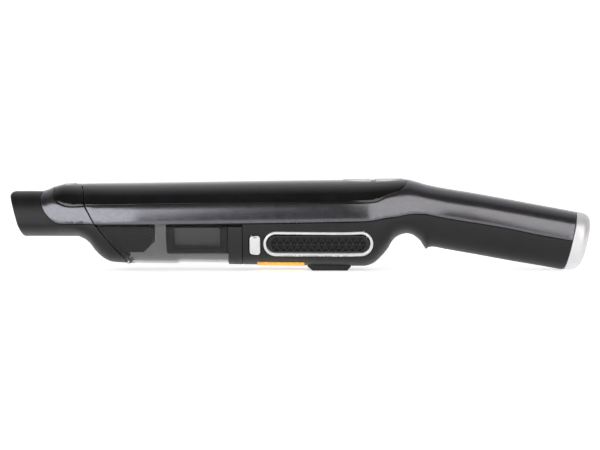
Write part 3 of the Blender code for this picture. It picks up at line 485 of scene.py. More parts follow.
def mesh_from(points, faces):
    mesh = bpy.data.meshes.new("mesh")
    mesh.from_pydata([tuple(point) for point in np.asarray(points) * MM], [], faces)
    mesh.update()
    return mesh


def strip(low, high, count):
    """Faces between two rings, each given by the number of its first point."""
    pairs = [(i, (i + 1) % count) for i in range(count)]
    return [(low + i, low + j, high + j, high + i) for i, j in pairs]


def skin_mesh(chart, loops, thickness, rounding, outset=0.0, spacing=2.0, steps=5):
    """A plate that follows the outer form inside the loops, with its outer edges rounded."""
    loops = [turned_round(loop, index == 0) for index, loop in enumerate(loops)]
    flat, depths, faces = [], [], []

    def add(points, depth):
        start = sum(len(part) for part in flat)
        flat.append(np.asarray(points, float))
        depths.append(np.full(len(points), depth))
        return start

    tops, backs = [], []
    for loop in loops:
        rings = [add(loop, thickness)]
        for angle in spread(0, math.pi / 2, steps):
            ring = inset_loop(loop, rounding * (1 - math.cos(angle)))
            rings.append(add(ring, rounding * (1 - math.sin(angle))))
        for low, high in zip(rings, rings[1:]):
            faces += strip(low, high, len(loop))
        tops.append((ring, rings[-1]))
        backs.append((loop, rings[0]))
    faced = ((tops, spacing, 0.0, False), (backs, 3 * spacing, thickness, True))
    for ends, width, depth, flipped in faced:
        field, triangles = fill([loop for loop, _ in ends], width)
        parts = ends + [(field, add(field, depth))]
        corners = np.concatenate([part for part, _ in parts])
        numbers = np.concatenate([start + np.arange(len(part)) for part, start in parts])
        for face in triangles:
            if (signed_area(corners[face]) < 0) != flipped:
                face = face[::-1]
            faces.append([int(numbers[i]) for i in face])
    flat = np.concatenate(flat)
    depths = np.concatenate(depths)
    turns = np.clip(chart.turn(*flat.T), chart.first_turn, chart.first_turn + 180)
    points = form_points(flat[:, 0], turns)
    return mesh_from(points + form_normals(points) * (outset - depths)[:, None], faces)


def tube_mesh(rows):
    """Closed body from rings of points; the last ring joins the first."""
    count = len(rows[0])
    faces = []
    for r in range(len(rows)):
        faces += strip(r * count, (r + 1) % len(rows) * count, count)
    return face_outward(mesh_from(np.concatenate(rows), faces))


def capped_mesh(rows):
    """Closed body from rings of points, with a fan at each end."""
    count = len(rows[0])
    points = np.concatenate(rows + [rows[0].mean(axis=0)[None], rows[-1].mean(axis=0)[None]])
    first, last = len(points) - 2, len(points) - 1
    end = (len(rows) - 1) * count
    faces = []
    for i in range(count):
        j = (i + 1) % count
        for low in range(0, end, count):
            high = low + count
            faces.append((low + i, low + j, high + j, high + i))
        faces += [(j, i, first), (last, end + i, end + j)]
    return face_outward(mesh_from(points, faces))


def face_outward(mesh):
    shape = bmesh.new()
    shape.from_mesh(mesh)
    bmesh.ops.recalc_face_normals(shape, faces=shape.faces)
    shape.to_mesh(mesh)
    shape.free()
    return mesh


def turned_mesh(profile, z, steps=112):
    """Turn a closed profile of (x, radius) points about the line along X at height z."""
    turns = spread(0, 2 * math.pi, steps + 1)[:-1]
    rows = []
    for x, radius in profile:
        rows.append([(x, radius * math.sin(turn), z + radius * math.cos(turn)) for turn in turns])
    return tube_mesh(rows)


def prism_mesh(outline, depth, place):
    """Extrude a flat outline by depth about the plane of place."""
    shape = bmesh.new()
    corners = [shape.verts.new((u * MM, v * MM, -depth * MM / 2)) for u, v in outline]
    face = shape.faces.new(corners)
    moved = bmesh.ops.extrude_face_region(shape, geom=[face])["geom"]
    tops = [item for item in moved if isinstance(item, bmesh.types.BMVert)]
    bmesh.ops.translate(shape, verts=tops, vec=(0, 0, depth * MM))
    bmesh.ops.transform(shape, matrix=place, verts=shape.verts)
    bmesh.ops.recalc_face_normals(shape, faces=shape.faces)
    mesh = bpy.data.meshes.new("prism")
    shape.to_mesh(mesh)
    shape.free()
    return mesh


def side_place(y=0.0):
    return Matrix.Translation((0, y * MM, 0)) @ Matrix.Rotation(math.pi / 2, 4, "X")


def cut(mesh, others, operation="DIFFERENCE"):
    """Apply Booleans with other meshes and return the new mesh."""
    item = new_object("cut", mesh)
    helpers = []
    for other in others:
        helpers.append(new_object("helper", other))
        modifier = item.modifiers.new("cut", "BOOLEAN")
        modifier.operation = operation
        modifier.object = helpers[-1]
        modifier.solver = "EXACT"
    made = baked(item)
    for helper in helpers:
        bpy.data.objects.remove(helper, do_unlink=True)
    return made


def hinge_rod(radius, length, y=0.0):
    """Rod along the door hinge's axis."""
    return prism_mesh(circle(radius, 32, HINGE_X, HINGE_Z), length, side_place(y))


def hinged(mesh, knuckles, side):
    """Cut room for the hinge into a wall, then add its barrels, as (y, length), and their webs."""
    mesh = cut(mesh, [hinge_rod(HINGE_NOTCH, HINGE_WIDTH)])
    low, high = HINGE_Z - 1.2, HINGE_Z + 1.0
    x0, x1 = sorted((HINGE_X, HINGE_X + 4.5 * side))
    web = [(x0, low), (x1, low), (x1, high), (x0, high)]
    added = []
    for y, length in knuckles:
        added.append(hinge_rod(BARREL_RADIUS, length, y))
        added.append(prism_mesh(web, length, side_place(y)))
    return cut(cut(mesh, added, "UNION"), [hinge_rod(BARREL_BORE, 50)])


def rounded_copy(node, width):
    """A copy of a CAD node's mesh, welded and with rounded edges."""
    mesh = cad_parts[node].data.copy()
    flat = math.radians(1.5)
    shape = bmesh.new()
    shape.from_mesh(mesh)
    bmesh.ops.remove_doubles(shape, verts=shape.verts, dist=2e-6)
    bmesh.ops.dissolve_limit(shape, angle_limit=flat, verts=shape.verts, edges=shape.edges)
    shape.to_mesh(mesh)
    shape.free()
    item = new_object("round", mesh)
    bevel = item.modifiers.new("round", "BEVEL")
    bevel.width = width * MM
    bevel.segments = 3
    bevel.limit_method = "ANGLE"
    bevel.angle_limit = math.radians(35)
    bevel.harden_normals = False
    return baked(item)


# ---------------------------------------------------------------- materials

def feed(node, inputs):
    """Set a node's inputs, each to a value or to what another node's output gives."""
    for key, value in inputs.items():
        if isinstance(value, bpy.types.NodeSocket):
            node.id_data.links.new(value, node.inputs[key])
        else:
            node.inputs[key].default_value = value
    return node


def new_material(name):
    material = bpy.data.materials.new(name)
    material.use_nodes = True
    tree = material.node_tree
    return material, tree, tree.nodes["Principled BSDF"]


def noise(tree, scale, detail=3.0, roughness=0.55):
    """Noise over the piece's own coordinates, in units of 1/m."""
    place = tree.nodes.new("ShaderNodeTexCoord").outputs["Object"]
    inputs = {"Scale": scale, "Detail": detail, "Roughness": roughness, "Vector": place}
    return feed(tree.nodes.new("ShaderNodeTexNoise"), inputs).outputs["Fac"]


def ranged(tree, value, low, high, start=0.3, end=0.7):
    """Map a value from start..end to low..high."""
    ends = {"From Min": start, "From Max": end, "To Min": low, "To Max": high}
    return feed(tree.nodes.new("ShaderNodeMapRange"), {**ends, "Value": value}).outputs["Result"]


def colours(tree, value, dark, light):
    mix = tree.nodes.new("ShaderNodeMix")
    mix.data_type = "RGBA"
    return feed(mix, {"A": (*dark, 1), "B": (*light, 1), "Factor": value}).outputs["Result"]


def bumped(tree, shader, heights):
    """Chain bumps, each (height socket, strength, distance in mm)."""
    chain = {}
    for height, strength, distance in heights:
        inputs = {"Strength": strength, "Distance": distance * MM, "Height": height, **chain}
        bump = feed(tree.nodes.new("ShaderNodeBump"), inputs)
        chain = {"Normal": bump.outputs["Normal"]}
    feed(shader, chain)


def moulded(name, dark, light, rough, grain, depth, metallic=0.0, shine=0.5, wave=0.0, fleck=0.0):
    """Moulded or painted plastic: mottled colour, uneven gloss and a fine grain."""
    material, tree, shader = new_material(name)
    cloud = noise(tree, 90, 4)
    fine = noise(tree, grain, 2, 0.7)
    tone = ranged(tree, cloud, 0, 1)
    if fleck:
        spots = tree.nodes.new("ShaderNodeMath")
        spots.operation = "MULTIPLY_ADD"
        feed(spots, {0: tone, 1: 1 - fleck, 2: ranged(tree, fine, 0, fleck, 0.35, 0.65)})
        tone = spots.outputs["Value"]
    feed(shader, {
        "Base Color": colours(tree, tone, dark, light),
        "Roughness": ranged(tree, noise(tree, 260, 3), *rough),
        "Metallic": metallic,
        "Specular IOR Level": shine,
    })
    heights = [(fine, 0.5, depth)]
    if wave:
        heights.append((noise(tree, 35, 2), 0.5, wave))
    bumped(tree, shader, heights)
    return material


def smoke_material():
    """Clear smoke-grey plastic."""
    material, tree, shader = new_material("smoke_clear_plastic")
    tone = ranged(tree, noise(tree, 60, 3), 0, 1)
    feed(shader, {
        "Base Color": colours(tree, tone, (0.006, 0.006, 0.0065), (0.009, 0.009, 0.0095)),
        "Roughness": ranged(tree, noise(tree, 300, 3), 0.10, 0.16),
        "Alpha": 0.43,
        "IOR": 1.5,
    })
    bumped(tree, shader, [(noise(tree, 45, 2), 0.3, 0.05)])
    return material


def mesh_material():
    """Woven steel filter screen."""
    material, tree, shader = new_material("screen_weave")
    place = tree.nodes.new("ShaderNodeTexCoord").outputs["Object"]
    inputs = {"Scale": 420, "Distortion": 0.2, "Vector": place}
    weave = feed(tree.nodes.new("ShaderNodeTexWave"), inputs).outputs["Fac"]
    feed(shader, {
        "Base Color": colours(tree, weave, (0.20, 0.20, 0.21), (0.62, 0.62, 0.64)),
        "Roughness": ranged(tree, noise(tree, 500, 2), 0.35, 0.5),
        "Metallic": 0.8,
    })
    bumped(tree, shader, [(weave, 0.6, 0.08)])
    return material


def grey(level, blue=0.0):
    return level, level, level + blue


def make_materials():
    """Every finish: colour from dark to light, roughness range, grain in 1/m and its depth in mm."""
    return {
        "satin_grey": moulded(
            "satin_grey_paint", grey(0.085, 0.008), grey(0.135, 0.012), (0.18, 0.22), 1500, 0.012,
            metallic=0.9, fleck=0.85,
        ),
        "gloss_black": moulded(
            "gloss_black_plastic", grey(0.004, 0.0005), grey(0.007, 0.0005), (0.08, 0.12), 1500,
            0.002, wave=0.02,
        ),
        "matt_black": moulded(
            "matt_black_plastic", grey(0.004, 0.0005), grey(0.0075, 0.0009), (0.38, 0.46), 1500,
            0.03, wave=0.01, fleck=0.3, shine=0.3,
        ),
        "silver": moulded(
            "silver_paint", grey(0.54, 0.01), grey(0.63, 0.01), (0.30, 0.38), 2600, 0.012,
            metallic=0.35, fleck=0.3,
        ),
        "inner_black": moulded(
            "inner_black_plastic", grey(0.005, 0.0005), grey(0.009, 0.0007), (0.42, 0.55), 1800,
            0.03, fleck=0.3, shine=0.35,
        ),
        "rubber_black": moulded("rubber", grey(0.010), grey(0.022), (0.7, 0.85), 1400, 0.04),
        "steel": moulded(
            "machined_steel", grey(0.42, 0.01), grey(0.58, 0.02), (0.22, 0.34), 1800, 0.01,
            metallic=1.0,
        ),
        "copper": moulded(
            "enamelled_copper", (0.40, 0.17, 0.07), (0.62, 0.30, 0.14), (0.25, 0.4), 900, 0.15,
            metallic=1.0,
        ),
        "filter_white": moulded(
            "filter_fleece", grey(0.55, -0.03), grey(0.82, -0.04), (0.85, 0.95), 1600, 0.10,
        ),
        "board_green": moulded(
            "circuit_board", (0.012, 0.09, 0.035), (0.03, 0.17, 0.07), (0.3, 0.45), 500, 0.05,
        ),
        "cell_wrap": moulded(
            "cell_wrap", (0.03, 0.10, 0.34), (0.05, 0.15, 0.45), (0.3, 0.42), 700, 0.01,
        ),
        "gold": moulded(
            "gold_plate", (0.70, 0.46, 0.15), (0.86, 0.62, 0.24), (0.2, 0.32), 1500, 0.01,
            metallic=1.0,
        ),
        "label_yellow": moulded(
            "label_film", (0.80, 0.41, 0.035), (0.88, 0.47, 0.05), (0.35, 0.45), 1200, 0.01,
        ),
        "lead_red": moulded(
            "red_insulation", (0.42, 0.02, 0.02), (0.58, 0.03, 0.03), (0.45, 0.6), 900, 0.02,
        ),
        "smoke_clear": smoke_material(),
        "screen": mesh_material(),
    }


M = make_materials()

# ---------------------------------------------------------------- housing

def seam_side(chart, side, x0, x1):
    """The seam's chart points from x0 to x1."""
    xs = np.linspace(x0, x1, max(2, int(abs(x1 - x0))))
    return np.stack([xs, chart.edge(xs, side, GAP / 2)], axis=-1)


def line_side(chart, line, start_turn, end_turn, dx=0.0):
    """Chart points where a side-view line crosses the form between two turns."""
    turns = np.linspace(start_turn, end_turn, 60)
    xs = crossing(line, turns, dx)
    return np.stack([xs, chart.way(xs, turns)], axis=-1)


def turn_at_height(line, z, dx=0.0):
    """The turn, on the -Y side, at which a side-view line passes height z."""
    x = line_x(line, z) + dx
    share = (z - widest(x)) / (crown(x) - widest(x))
    return math.degrees(math.asin(share ** (UPPER_POWER / 2)))


def over_crown(line):
    """Chart points of a side-view line that rises to the crown, on the -Y side, from its first point."""
    line = smooth(line, 0.5)
    line = line[line[:, 1] <= crown(line[:, 0]) + 0.3]
    edge = UPPER.from_side(line, -1)
    edge[-1] = (edge[-1][0], 0)
    return edge


def panel_edge(grow):
    """Chart points of the panel's edge on the -Y side, from the door line to the crown."""
    edge = over_crown(PANEL_LINE)
    if grow:
        ahead = np.gradient(edge, axis=0)
        ahead /= np.linalg.norm(ahead, axis=1, keepdims=True)
        edge = edge + np.stack([ahead[:, 1], -ahead[:, 0]], axis=-1) * grow
        edge[-1][1] = 0
    front = turn_at_height(DOOR_LINE, PANEL_LINE[1][1], DOOR_GAP)
    start = crossing(DOOR_LINE, [front], DOOR_GAP)[0]
    edge = edge[edge[:, 0] > start + 0.3]
    first = np.array([[start, float(np.interp(start, edge[:, 0], edge[:, 1]))]])
    return np.concatenate([first, edge]), front


def mirrored(points):
    return np.array(points)[::-1] * (1, -1)


def closed_at_door(edge, turn, dx):
    """Loop of an edge, its mirror image and the door line between them, moved by dx."""
    front = line_side(UPPER, DOOR_LINE, 180 - turn, turn, dx)
    front[0], front[-1] = edge[0] * (1, -1), edge[0]
    return loop_of(edge, mirrored(edge), front)


def button_holes(grow):
    return [even_loop(UPPER.from_plan(oval_outline(*span, grow))) for span in BUTTON_SPANS.values()]


def make_upper_housing():
    edge, front_turn = panel_edge(0.2)
    low_door = crossing(DOOR_LINE, [0.5], DOOR_GAP)[0]
    low_end = crossing(HANDLE_END_LINE, [0.5])[0]
    bottom = seam_side(UPPER, -1, low_door, low_end)
    end = line_side(UPPER, HANDLE_END_LINE, 0.5, 179.5)
    door = line_side(UPPER, DOOR_LINE, front_turn, 0.5, DOOR_GAP)
    end[0], end[-1] = bottom[-1], bottom[-1] * (1, -1)
    door[0], door[-1] = edge[0], bottom[0]
    loop = loop_of(bottom, end, mirrored(bottom), mirrored(door), edge * (1, -1), edge[::-1], door)
    mesh = skin_mesh(UPPER, [loop], SHELL, 0.5)
    add_object("upper_housing_skin", mesh, "body", ["upper_housing"], "satin_grey")
    edge, _ = panel_edge(0.1)
    loops = [closed_at_door(edge, front_turn, 0.3)] + button_holes(3 * GAP)
    mesh = skin_mesh(UPPER, loops, SHELL - PANEL - GAP, 0.1, -PANEL - GAP, 4.0, 2)
    add_object("panel_bed", mesh, "body", ["upper_housing"], "satin_grey", "inner_black")


def make_top_panel():
    loops = [closed_at_door(*panel_edge(0.0), DOOR_GAP)] + button_holes(GAP)
    mesh = skin_mesh(UPPER, loops, PANEL, 0.45)
    add_object("top_panel_skin", mesh, "body", ["top_panel"], "gloss_black")


def oval_outline(low, high, grow):
    """Outline of the part of the top buttons' oval between two stations."""
    near = []
    for x in spread(low - grow, high + grow, 30):
        reach = min(1.0, abs(x - OVAL_X) / (OVAL_HALF_LENGTH + 1.2))
        near.append((x, -(OVAL_HALF_WIDTH * (1 - reach ** 2.4) ** 0.55 + grow)))
    return near + [(x, -y) for x, y in reversed(near)]


def obround(u, v, length, height, sides=24):
    """Outline of a slot with half-round ends."""
    radius = height / 2
    reach = length / 2 - radius
    turns = spread(0, math.pi, sides + 1)
    right = [(u + reach + radius * math.sin(t), v - radius * math.cos(t)) for t in turns]
    left = [(u - reach - radius * math.sin(t), v + radius * math.cos(t)) for t in turns]
    return right + left


def rounded_corners(outline, radius, steps=6):
    """Replace each corner of a convex outline with an arc."""
    outline = np.array(outline, float)
    found = []
    for before, corner, after in zip(np.roll(outline, 1, 0), outline, np.roll(outline, -1, 0)):
        back = (before - corner) / np.linalg.norm(before - corner)
        ahead = (after - corner) / np.linalg.norm(after - corner)
        half = math.acos(np.clip(back @ ahead, -1, 1)) / 2
        reach = radius / math.tan(half)
        middle = corner + (back + ahead) / np.linalg.norm(back + ahead) * radius / math.sin(half)
        start, end = corner + back * reach - middle, corner + ahead * reach - middle
        for t in spread(0, 1, steps):
            arm = start * (1 - t) + end * t
            found.append(middle + arm / np.linalg.norm(arm) * radius)
    return np.array(found)


def release_outline(grow):
    """Rounded trapezoid of a cup release button, narrower toward the front."""
    reach = RELEASE_HALF_LENGTH + grow
    low, high = RELEASE_HALF_HEIGHTS[0] + grow, RELEASE_HALF_HEIGHTS[1] + grow
    corners = [(-reach, -low), (reach, -high), (reach, high), (-reach, low)]
    corners = [(RELEASE_X + u, RELEASE_Z + v) for u, v in corners]
    return rounded_corners(corners, RELEASE_CORNER + grow)


def circle(radius, sides, u=0.0, v=0.0):
    turns = spread(0, 2 * math.pi, sides + 1)[:-1]
    return [(u + radius * math.cos(turn), v + radius * math.sin(turn)) for turn in turns]


def vent_loop(side, grow, spacing):
    """Loop of the vent's slot on one side, wider all round by grow."""
    slot = obround(VENT_X, VENT_Z, VENT_LENGTH + 2 * grow, VENT_HEIGHT + 2 * grow)
    return even_loop(LOWER.from_side(slot, side), spacing)


def make_lower_housing():
    low_end = crossing(HANDLE_END_LINE, [180.5])[0]
    bottom = seam_side(LOWER, -1, BODY_FRONT, low_end)
    end = line_side(LOWER, HANDLE_END_LINE, 180.5, 359.5)
    end[0], end[-1] = bottom[-1], bottom[-1] * (1, -1)
    front = np.array([bottom[0] * (1, -1), bottom[0]])
    outer = loop_of(bottom, end, mirrored(bottom), front)
    holes = []
    for side in (-1, 1):
        holes.append(vent_loop(side, GAP, 0.8))
        holes.append(even_loop(LOWER.from_side(release_outline(GAP), side)))
    (x0, x1), y = BLOCK_SPAN, BLOCK_HALF_WIDTH
    block = rounded_corners([(x0, -y), (x1, -y), (x1, y), (x0, y)], 0.8)
    holes.append(even_loop(LOWER.from_plan(block)))
    for x, y in SCREW_PLACES:
        holes.append(even_loop(LOWER.from_plan(circle(SCREW_RADIUS + GAP, 30, x, y)), 0.5))
    mesh = skin_mesh(LOWER, [outer] + holes, SHELL, 0.4)
    add_object("lower_housing_skin", mesh, "body", ["lower_housing"], "matt_black")


def make_side_pieces():
    for side, sign in (("left", -1), ("right", 1)):
        loops = [vent_loop(sign, 0, 0.7), vent_loop(sign, -TRIM_WIDTH, 0.7)]
        mesh = skin_mesh(LOWER, loops, 3.6, 0.95, 0.6, 1.0, 8)
        add_object(f"vent_trim_{side}_ring", mesh, "body", [f"vent_trim_{side}"], "silver")
        loop = even_loop(LOWER.from_side(release_outline(-0.3), sign), 0.6)
        name = f"release_button_{side}"
        mesh = skin_mesh(LOWER, [loop], 2.2, 0.8, 0.5, 1.2, 8)
        add_object(f"{name}_cap", mesh, name, [name], "silver")
        make_grille(side, sign)


def triangle(u, v, base, height, up):
    tip = height / 2 if up else -height / 2
    return [(u - base / 2, v - tip), (u + base / 2, v - tip), (u, v + tip)]


def grille_outlines(length, height):
    """Outlines of the grille's rim and of its holes, two rows of a triangle truss."""
    outlines = [obround(0, 0, length, height)]
    for row in (-1, 1):
        for count, points_up in ((HOLE_COLUMNS - 1, row < 0), (HOLE_COLUMNS, row > 0)):
            for column in range(count):
                middle = (column - (count - 1) / 2) * HOLE_PITCH
                level = row * HOLE_ROW + (-HOLE_STAGGER if points_up else HOLE_STAGGER)
                corners = triangle(middle, level, HOLE_BASE, HOLE_HEIGHT, points_up)
                outlines.append(rounded_corners(corners, 0.22, 3))
    return outlines


def make_grille(side, sign):
    """Flat grille with softened edges, and behind it a dark sheet that paints the shade inside the
    housing.
    """
    name = f"vent_grille_{side}_truss"
    length = VENT_LENGTH - 2 * TRIM_WIDTH - 1.2
    height = VENT_HEIGHT - 2 * TRIM_WIDTH - 1.2
    curve = bpy.data.curves.new(name, "CURVE")
    curve.dimensions = "2D"
    curve.fill_mode = "BOTH"
    curve.extrude = 0.55 * MM
    curve.bevel_depth = 0.15 * MM
    curve.bevel_resolution = 2
    curve.offset = -0.15 * MM
    for outline in grille_outlines(length, height):
        spline = curve.splines.new("POLY")
        spline.points.add(len(outline) - 1)
        for point, (u, v) in zip(spline.points, outline):
            point.co = (u * MM, v * MM, 0, 1)
        spline.use_cyclic_u = True
    mesh = baked(new_object(name, curve))
    share = (widest(VENT_X) - VENT_Z) / (widest(VENT_X) - belly(VENT_X))
    angle = math.asin(share ** (lower_power(VENT_X) / 2))
    y = sign * (abs(form_points(VENT_X, 360 - math.degrees(angle))[1]) - 2.6)
    lean = Matrix.Rotation(math.radians(90 - sign * VENT_TILT), 4, "X")
    place = Matrix.Translation(Vector((VENT_X, y, VENT_Z)) * MM) @ lean
    shape = bmesh.new()
    shape.from_mesh(mesh)
    bmesh.ops.remove_doubles(shape, verts=shape.verts, dist=1e-7)
    bmesh.ops.transform(shape, matrix=place, verts=shape.verts)
    bmesh.ops.recalc_face_normals(shape, faces=shape.faces)
    shape.to_mesh(mesh)
    shape.free()
    add_object(name, mesh, "body", [f"vent_grille_{side}"], "inner_black", sharp=30)
    # Painted shade: a dark sheet just behind the grille stands in for the shade inside the housing and
    # blocks the view through to the backdrop.
    behind = place @ Matrix.Translation((0, 0, 1.3 * sign * MM))
    sheet = prism_mesh(obround(0, 0, length - 1.5, height - 1.5), 0.3, behind)
    add_object(f"vent_shade_sheet_{side}", sheet, "body", [], "inner_black", sharp=30)


def make_top_buttons():
    for name, span in BUTTON_SPANS.items():
        loop = even_loop(UPPER.from_plan(oval_outline(*span, -0.2)), 0.6)
        mesh = skin_mesh(UPPER, [loop], 2.9, 0.6, 0.5, 1.5, 7)
        add_object(f"{name}_cap", mesh, name, [name], "silver")


def make_label():
    xs = np.array(LABEL_SPAN)
    low, high = [np.stack([xs, LOWER.way(xs, np.full(2, turn))], axis=-1) for turn in LABEL_TURNS]
    loop = even_loop(rounded_corners([low[0], low[1], high[1], high[0]], 0.8))
    mesh = skin_mesh(LOWER, [loop], 0.3, 0.12, 0.5, 1.5, 4)
    add_object("rating_label_film", mesh, "body", ["rating_label"], "label_yellow")


def end_ring(distance, inset, turns):
    """Ring of points at a distance behind the handle's slanted end plane."""
    x = crossing(HANDLE_END_LINE, turns)
    for _ in range(12):
        z = form_points(x, turns, inset)[:, 2]
        x = line_x(HANDLE_END_LINE, z) + distance
    return form_points(x, turns, inset)


def make_end_cap():
    turns = np.linspace(0, 360, END_COLUMNS + 1)[:-1]
    profile = smooth([(0.9, 0), (5.5, 0), (8.2, 0.5), (10.6, 2.2), (12, 4.8), (12.6, 8.5)], 0.5)
    lip = [(0.3, 2.2), (0.3, 0.6), (0.35, 0.35), (0.48, 0.16), (0.66, 0.04)]
    rows = [end_ring(4.0, 2.4, turns)] + [end_ring(d, i, turns) for d, i in lip]
    rows += [end_ring(d, i, turns) for d, i in profile]
    rows += [end_ring(12.85, 12.5, turns), end_ring(12.95, 16.5, turns)]
    add_object("handle_end_cap_shell", capped_mesh(rows), "body", ["handle_end_cap"], "silver")


def make_block():
    mesh = rounded_copy("charging_block", 0.4)
    add_object("charging_block_shell", mesh, "body", ["charging_block"], "inner_black")


# ---------------------------------------------------------------- cup and door

def start_turn(x, z, inset, lift):
    """The turn at which the -Y side of the lower form, moved in by inset, passes height z."""
    depth = (widest(x) - z) / (widest(x) - belly(x) - lift - inset)
    return 360 - np.degrees(np.arcsin(np.clip(depth, 0, 1) ** (lower_power(x) / 2)))


def stepped_ring(place, shoulder, width, top, base, inset=0.0, lift=None):
    """Ring of points on a narrow arch above the outer form. place(z) gives the x of each height."""
    turns = np.linspace(0, 180, ARCH_COLUMNS)
    side, up = np.cos(np.radians(turns)), np.sin(np.radians(turns))
    z = base - inset + np.abs(up) ** (2 / UPPER_POWER) * (top - base)
    x = place(z)
    reach = (width(x) if callable(width) else width) - inset
    y = -np.sign(side) * np.abs(side) ** (2 / UPPER_POWER) * reach
    over = np.stack([x, y, z], axis=-1)
    share = np.linspace(0, 1, FORM_COLUMNS)
    x = np.full(FORM_COLUMNS, float(place(np.array([shoulder]))[0]))
    for _ in range(ROUNDS):
        raised = lift(x) if lift else 0.0
        start = start_turn(x, shoulder - inset, inset, raised)
        under = form_points(x, (540 - start) * (1 - share) + start * share, inset, raised)
        x = 0.5 * x + 0.5 * place(under[:, 2])
    return np.concatenate([over, under])


def cup_ring_points(place, inset=0.0, lift=None):
    return stepped_ring(place, CUP_TOP, CUP_ARCH_WIDTH, CUP_ARCH_TOP, CUP_ARCH_BASE, inset, lift)


def upright(x):
    """A place at the same x at every height."""
    return lambda z: np.full(np.shape(z), float(x))


def beside_door(dx):
    """A place that follows the door line, moved by dx."""
    return lambda z: line_x(DOOR_LINE, z) + dx


def between(start, end, t):
    """A place at share t of the way from one place to another."""
    return lambda z: start(z) * (1 - t) + end(z) * t


def band_tube(ring_at, length, rows_along, wall, rounding):
    """Closed tube body of about this length. ring_at(t, inset) gives its ring at share t from 0 to 1."""
    share = rounding / length
    front = []
    for a in spread(0, math.pi / 2, 5):
        front.append((share * (1 - math.cos(a)), rounding * (1 - math.sin(a))))
    body = [(t, 0.0) for t in spread(share, 1 - share, rows_along)[1:-1]]
    rear = [(1 - t, inset) for t, inset in reversed(front)]
    back = [(t, wall) for t in spread(1, 0, max(3, rows_along // 3))]
    return tube_mesh([ring_at(t, inset) for t, inset in front + body + rear + back])


def make_cup():
    front, rear = beside_door(DOOR_GAP), upright(CUP_REAR)

    def ring_at(t, inset):
        return cup_ring_points(between(front, rear, t), inset, cup_lift)

    mesh = hinged(band_tube(ring_at, 90, 60, CUP_WALL, 0.4), [(-12, 6), (12, 6)], 1)
    add_object("dust_cup_shell", mesh, "cup", ["dust_cup"], "smoke_clear", sharp=25)


def make_ring():
    front = CUP_REAR + GAP

    def ring_at(t, inset):
        return cup_ring_points(upright(front * (1 - t) + RING_REAR * t), inset)

    mesh = band_tube(ring_at, RING_REAR - front, 8, RING_WALL, 0.4)
    add_object("cup_rear_ring_shell", mesh, "cup", ["cup_rear_ring"], "inner_black", sharp=25)


def mouth_x(z):
    """The nozzle's rim in side view, rounded at its top corner."""
    radius = 4.0
    low = NOZZLE_TOP - radius
    over = np.clip((z - low) / radius, 0, 1)
    return line_x(MOUTH_LINE, z) + radius * (1 - np.sqrt(1 - over * over))


def behind_mouth(dx):
    """A place that follows the nozzle's rim, moved by dx."""
    return lambda z: mouth_x(z) + dx


def visor_x(z):
    """The visor's front edge in side view; below the visor it is level."""
    line = smooth(VISOR_LINE, 0.5)
    order = np.argsort(line[:, 1])
    return np.interp(z, line[order, 1], line[order, 0])


def nozzle_width(x):
    start = start_turn(x, NOZZLE_LEDGE, 0.0, 0.0)
    return np.minimum(NOZZLE_HALF_WIDTH, np.abs(form_points(x, start)[..., 1]))


def nozzle_ring(place, inset=0.0, sunk=0.0):
    """Ring of the nozzle; its arch lies deeper by sunk, where the visor covers it."""
    ring = stepped_ring(place, NOZZLE_LEDGE, nozzle_width, NOZZLE_TOP, NOZZLE_LEDGE, inset)
    if sunk:
        middle = np.array([0, 0, NOZZLE_LEDGE])
        arch = ring[:ARCH_COLUMNS]
        away = (arch - middle) * (0, 1, 1)
        away /= np.maximum(np.linalg.norm(away, axis=1, keepdims=True), 1e-6)
        ring[:ARCH_COLUMNS] = arch - away * sunk
    return ring


def make_nozzle():
    rounding, sunk = 0.9, 1.75
    door = beside_door(-DOOR_GAP)

    def edge(z):
        return np.minimum(visor_x(np.maximum(z, VISOR_LOW)), door(z) - 3) - 0.35

    rows = []
    for a in spread(0, math.pi / 2, 6):
        along, inset = rounding * (1 - math.cos(a)), rounding * (1 - math.sin(a))
        rows.append(nozzle_ring(behind_mouth(along), inset))
    for t in spread(0, 1, 24)[1:]:
        rows.append(nozzle_ring(between(behind_mouth(rounding), edge, t)))
    for depth in (0.5, sunk):
        rows.append(nozzle_ring(edge, 0, depth))
    for t in spread(0, 1, 40)[1:]:
        rows.append(nozzle_ring(between(edge, door, t), 0, sunk))
    for t in spread(1, 0, 24):
        rows.append(nozzle_ring(between(behind_mouth(0.01), door, t), DOOR_WALL))
    mesh = cut(tube_mesh(rows), [hinge_rod(HINGE_NOTCH, HINGE_WIDTH)])
    add_object("nozzle_shell", mesh, "door", ["nozzle_door"], "matt_black", sharp=35)


def make_door_plate():
    solid = capped_mesh([cup_ring_points(upright(x), 1.0) for x in spread(-172, -122, 26)])
    band = [(x - DOOR_GAP, z) for x, z in DOOR_LINE] + [(x - 3.2, z) for x, z in reversed(DOOR_LINE)]
    mesh = cut(solid, [prism_mesh(band, 120, side_place())], "INTERSECT")
    passage = [(-180, 15.8), (-117.6, 15.8), (-112.2, 21.2), (-112.2, 48.4), (-180, 48.4)]
    mesh = hinged(cut(mesh, [prism_mesh(passage, 25.8, side_place())]), [(0, 17.4)], -1)
    add_object("door_plate", mesh, "door", ["nozzle_door"], "matt_black", sharp=30)


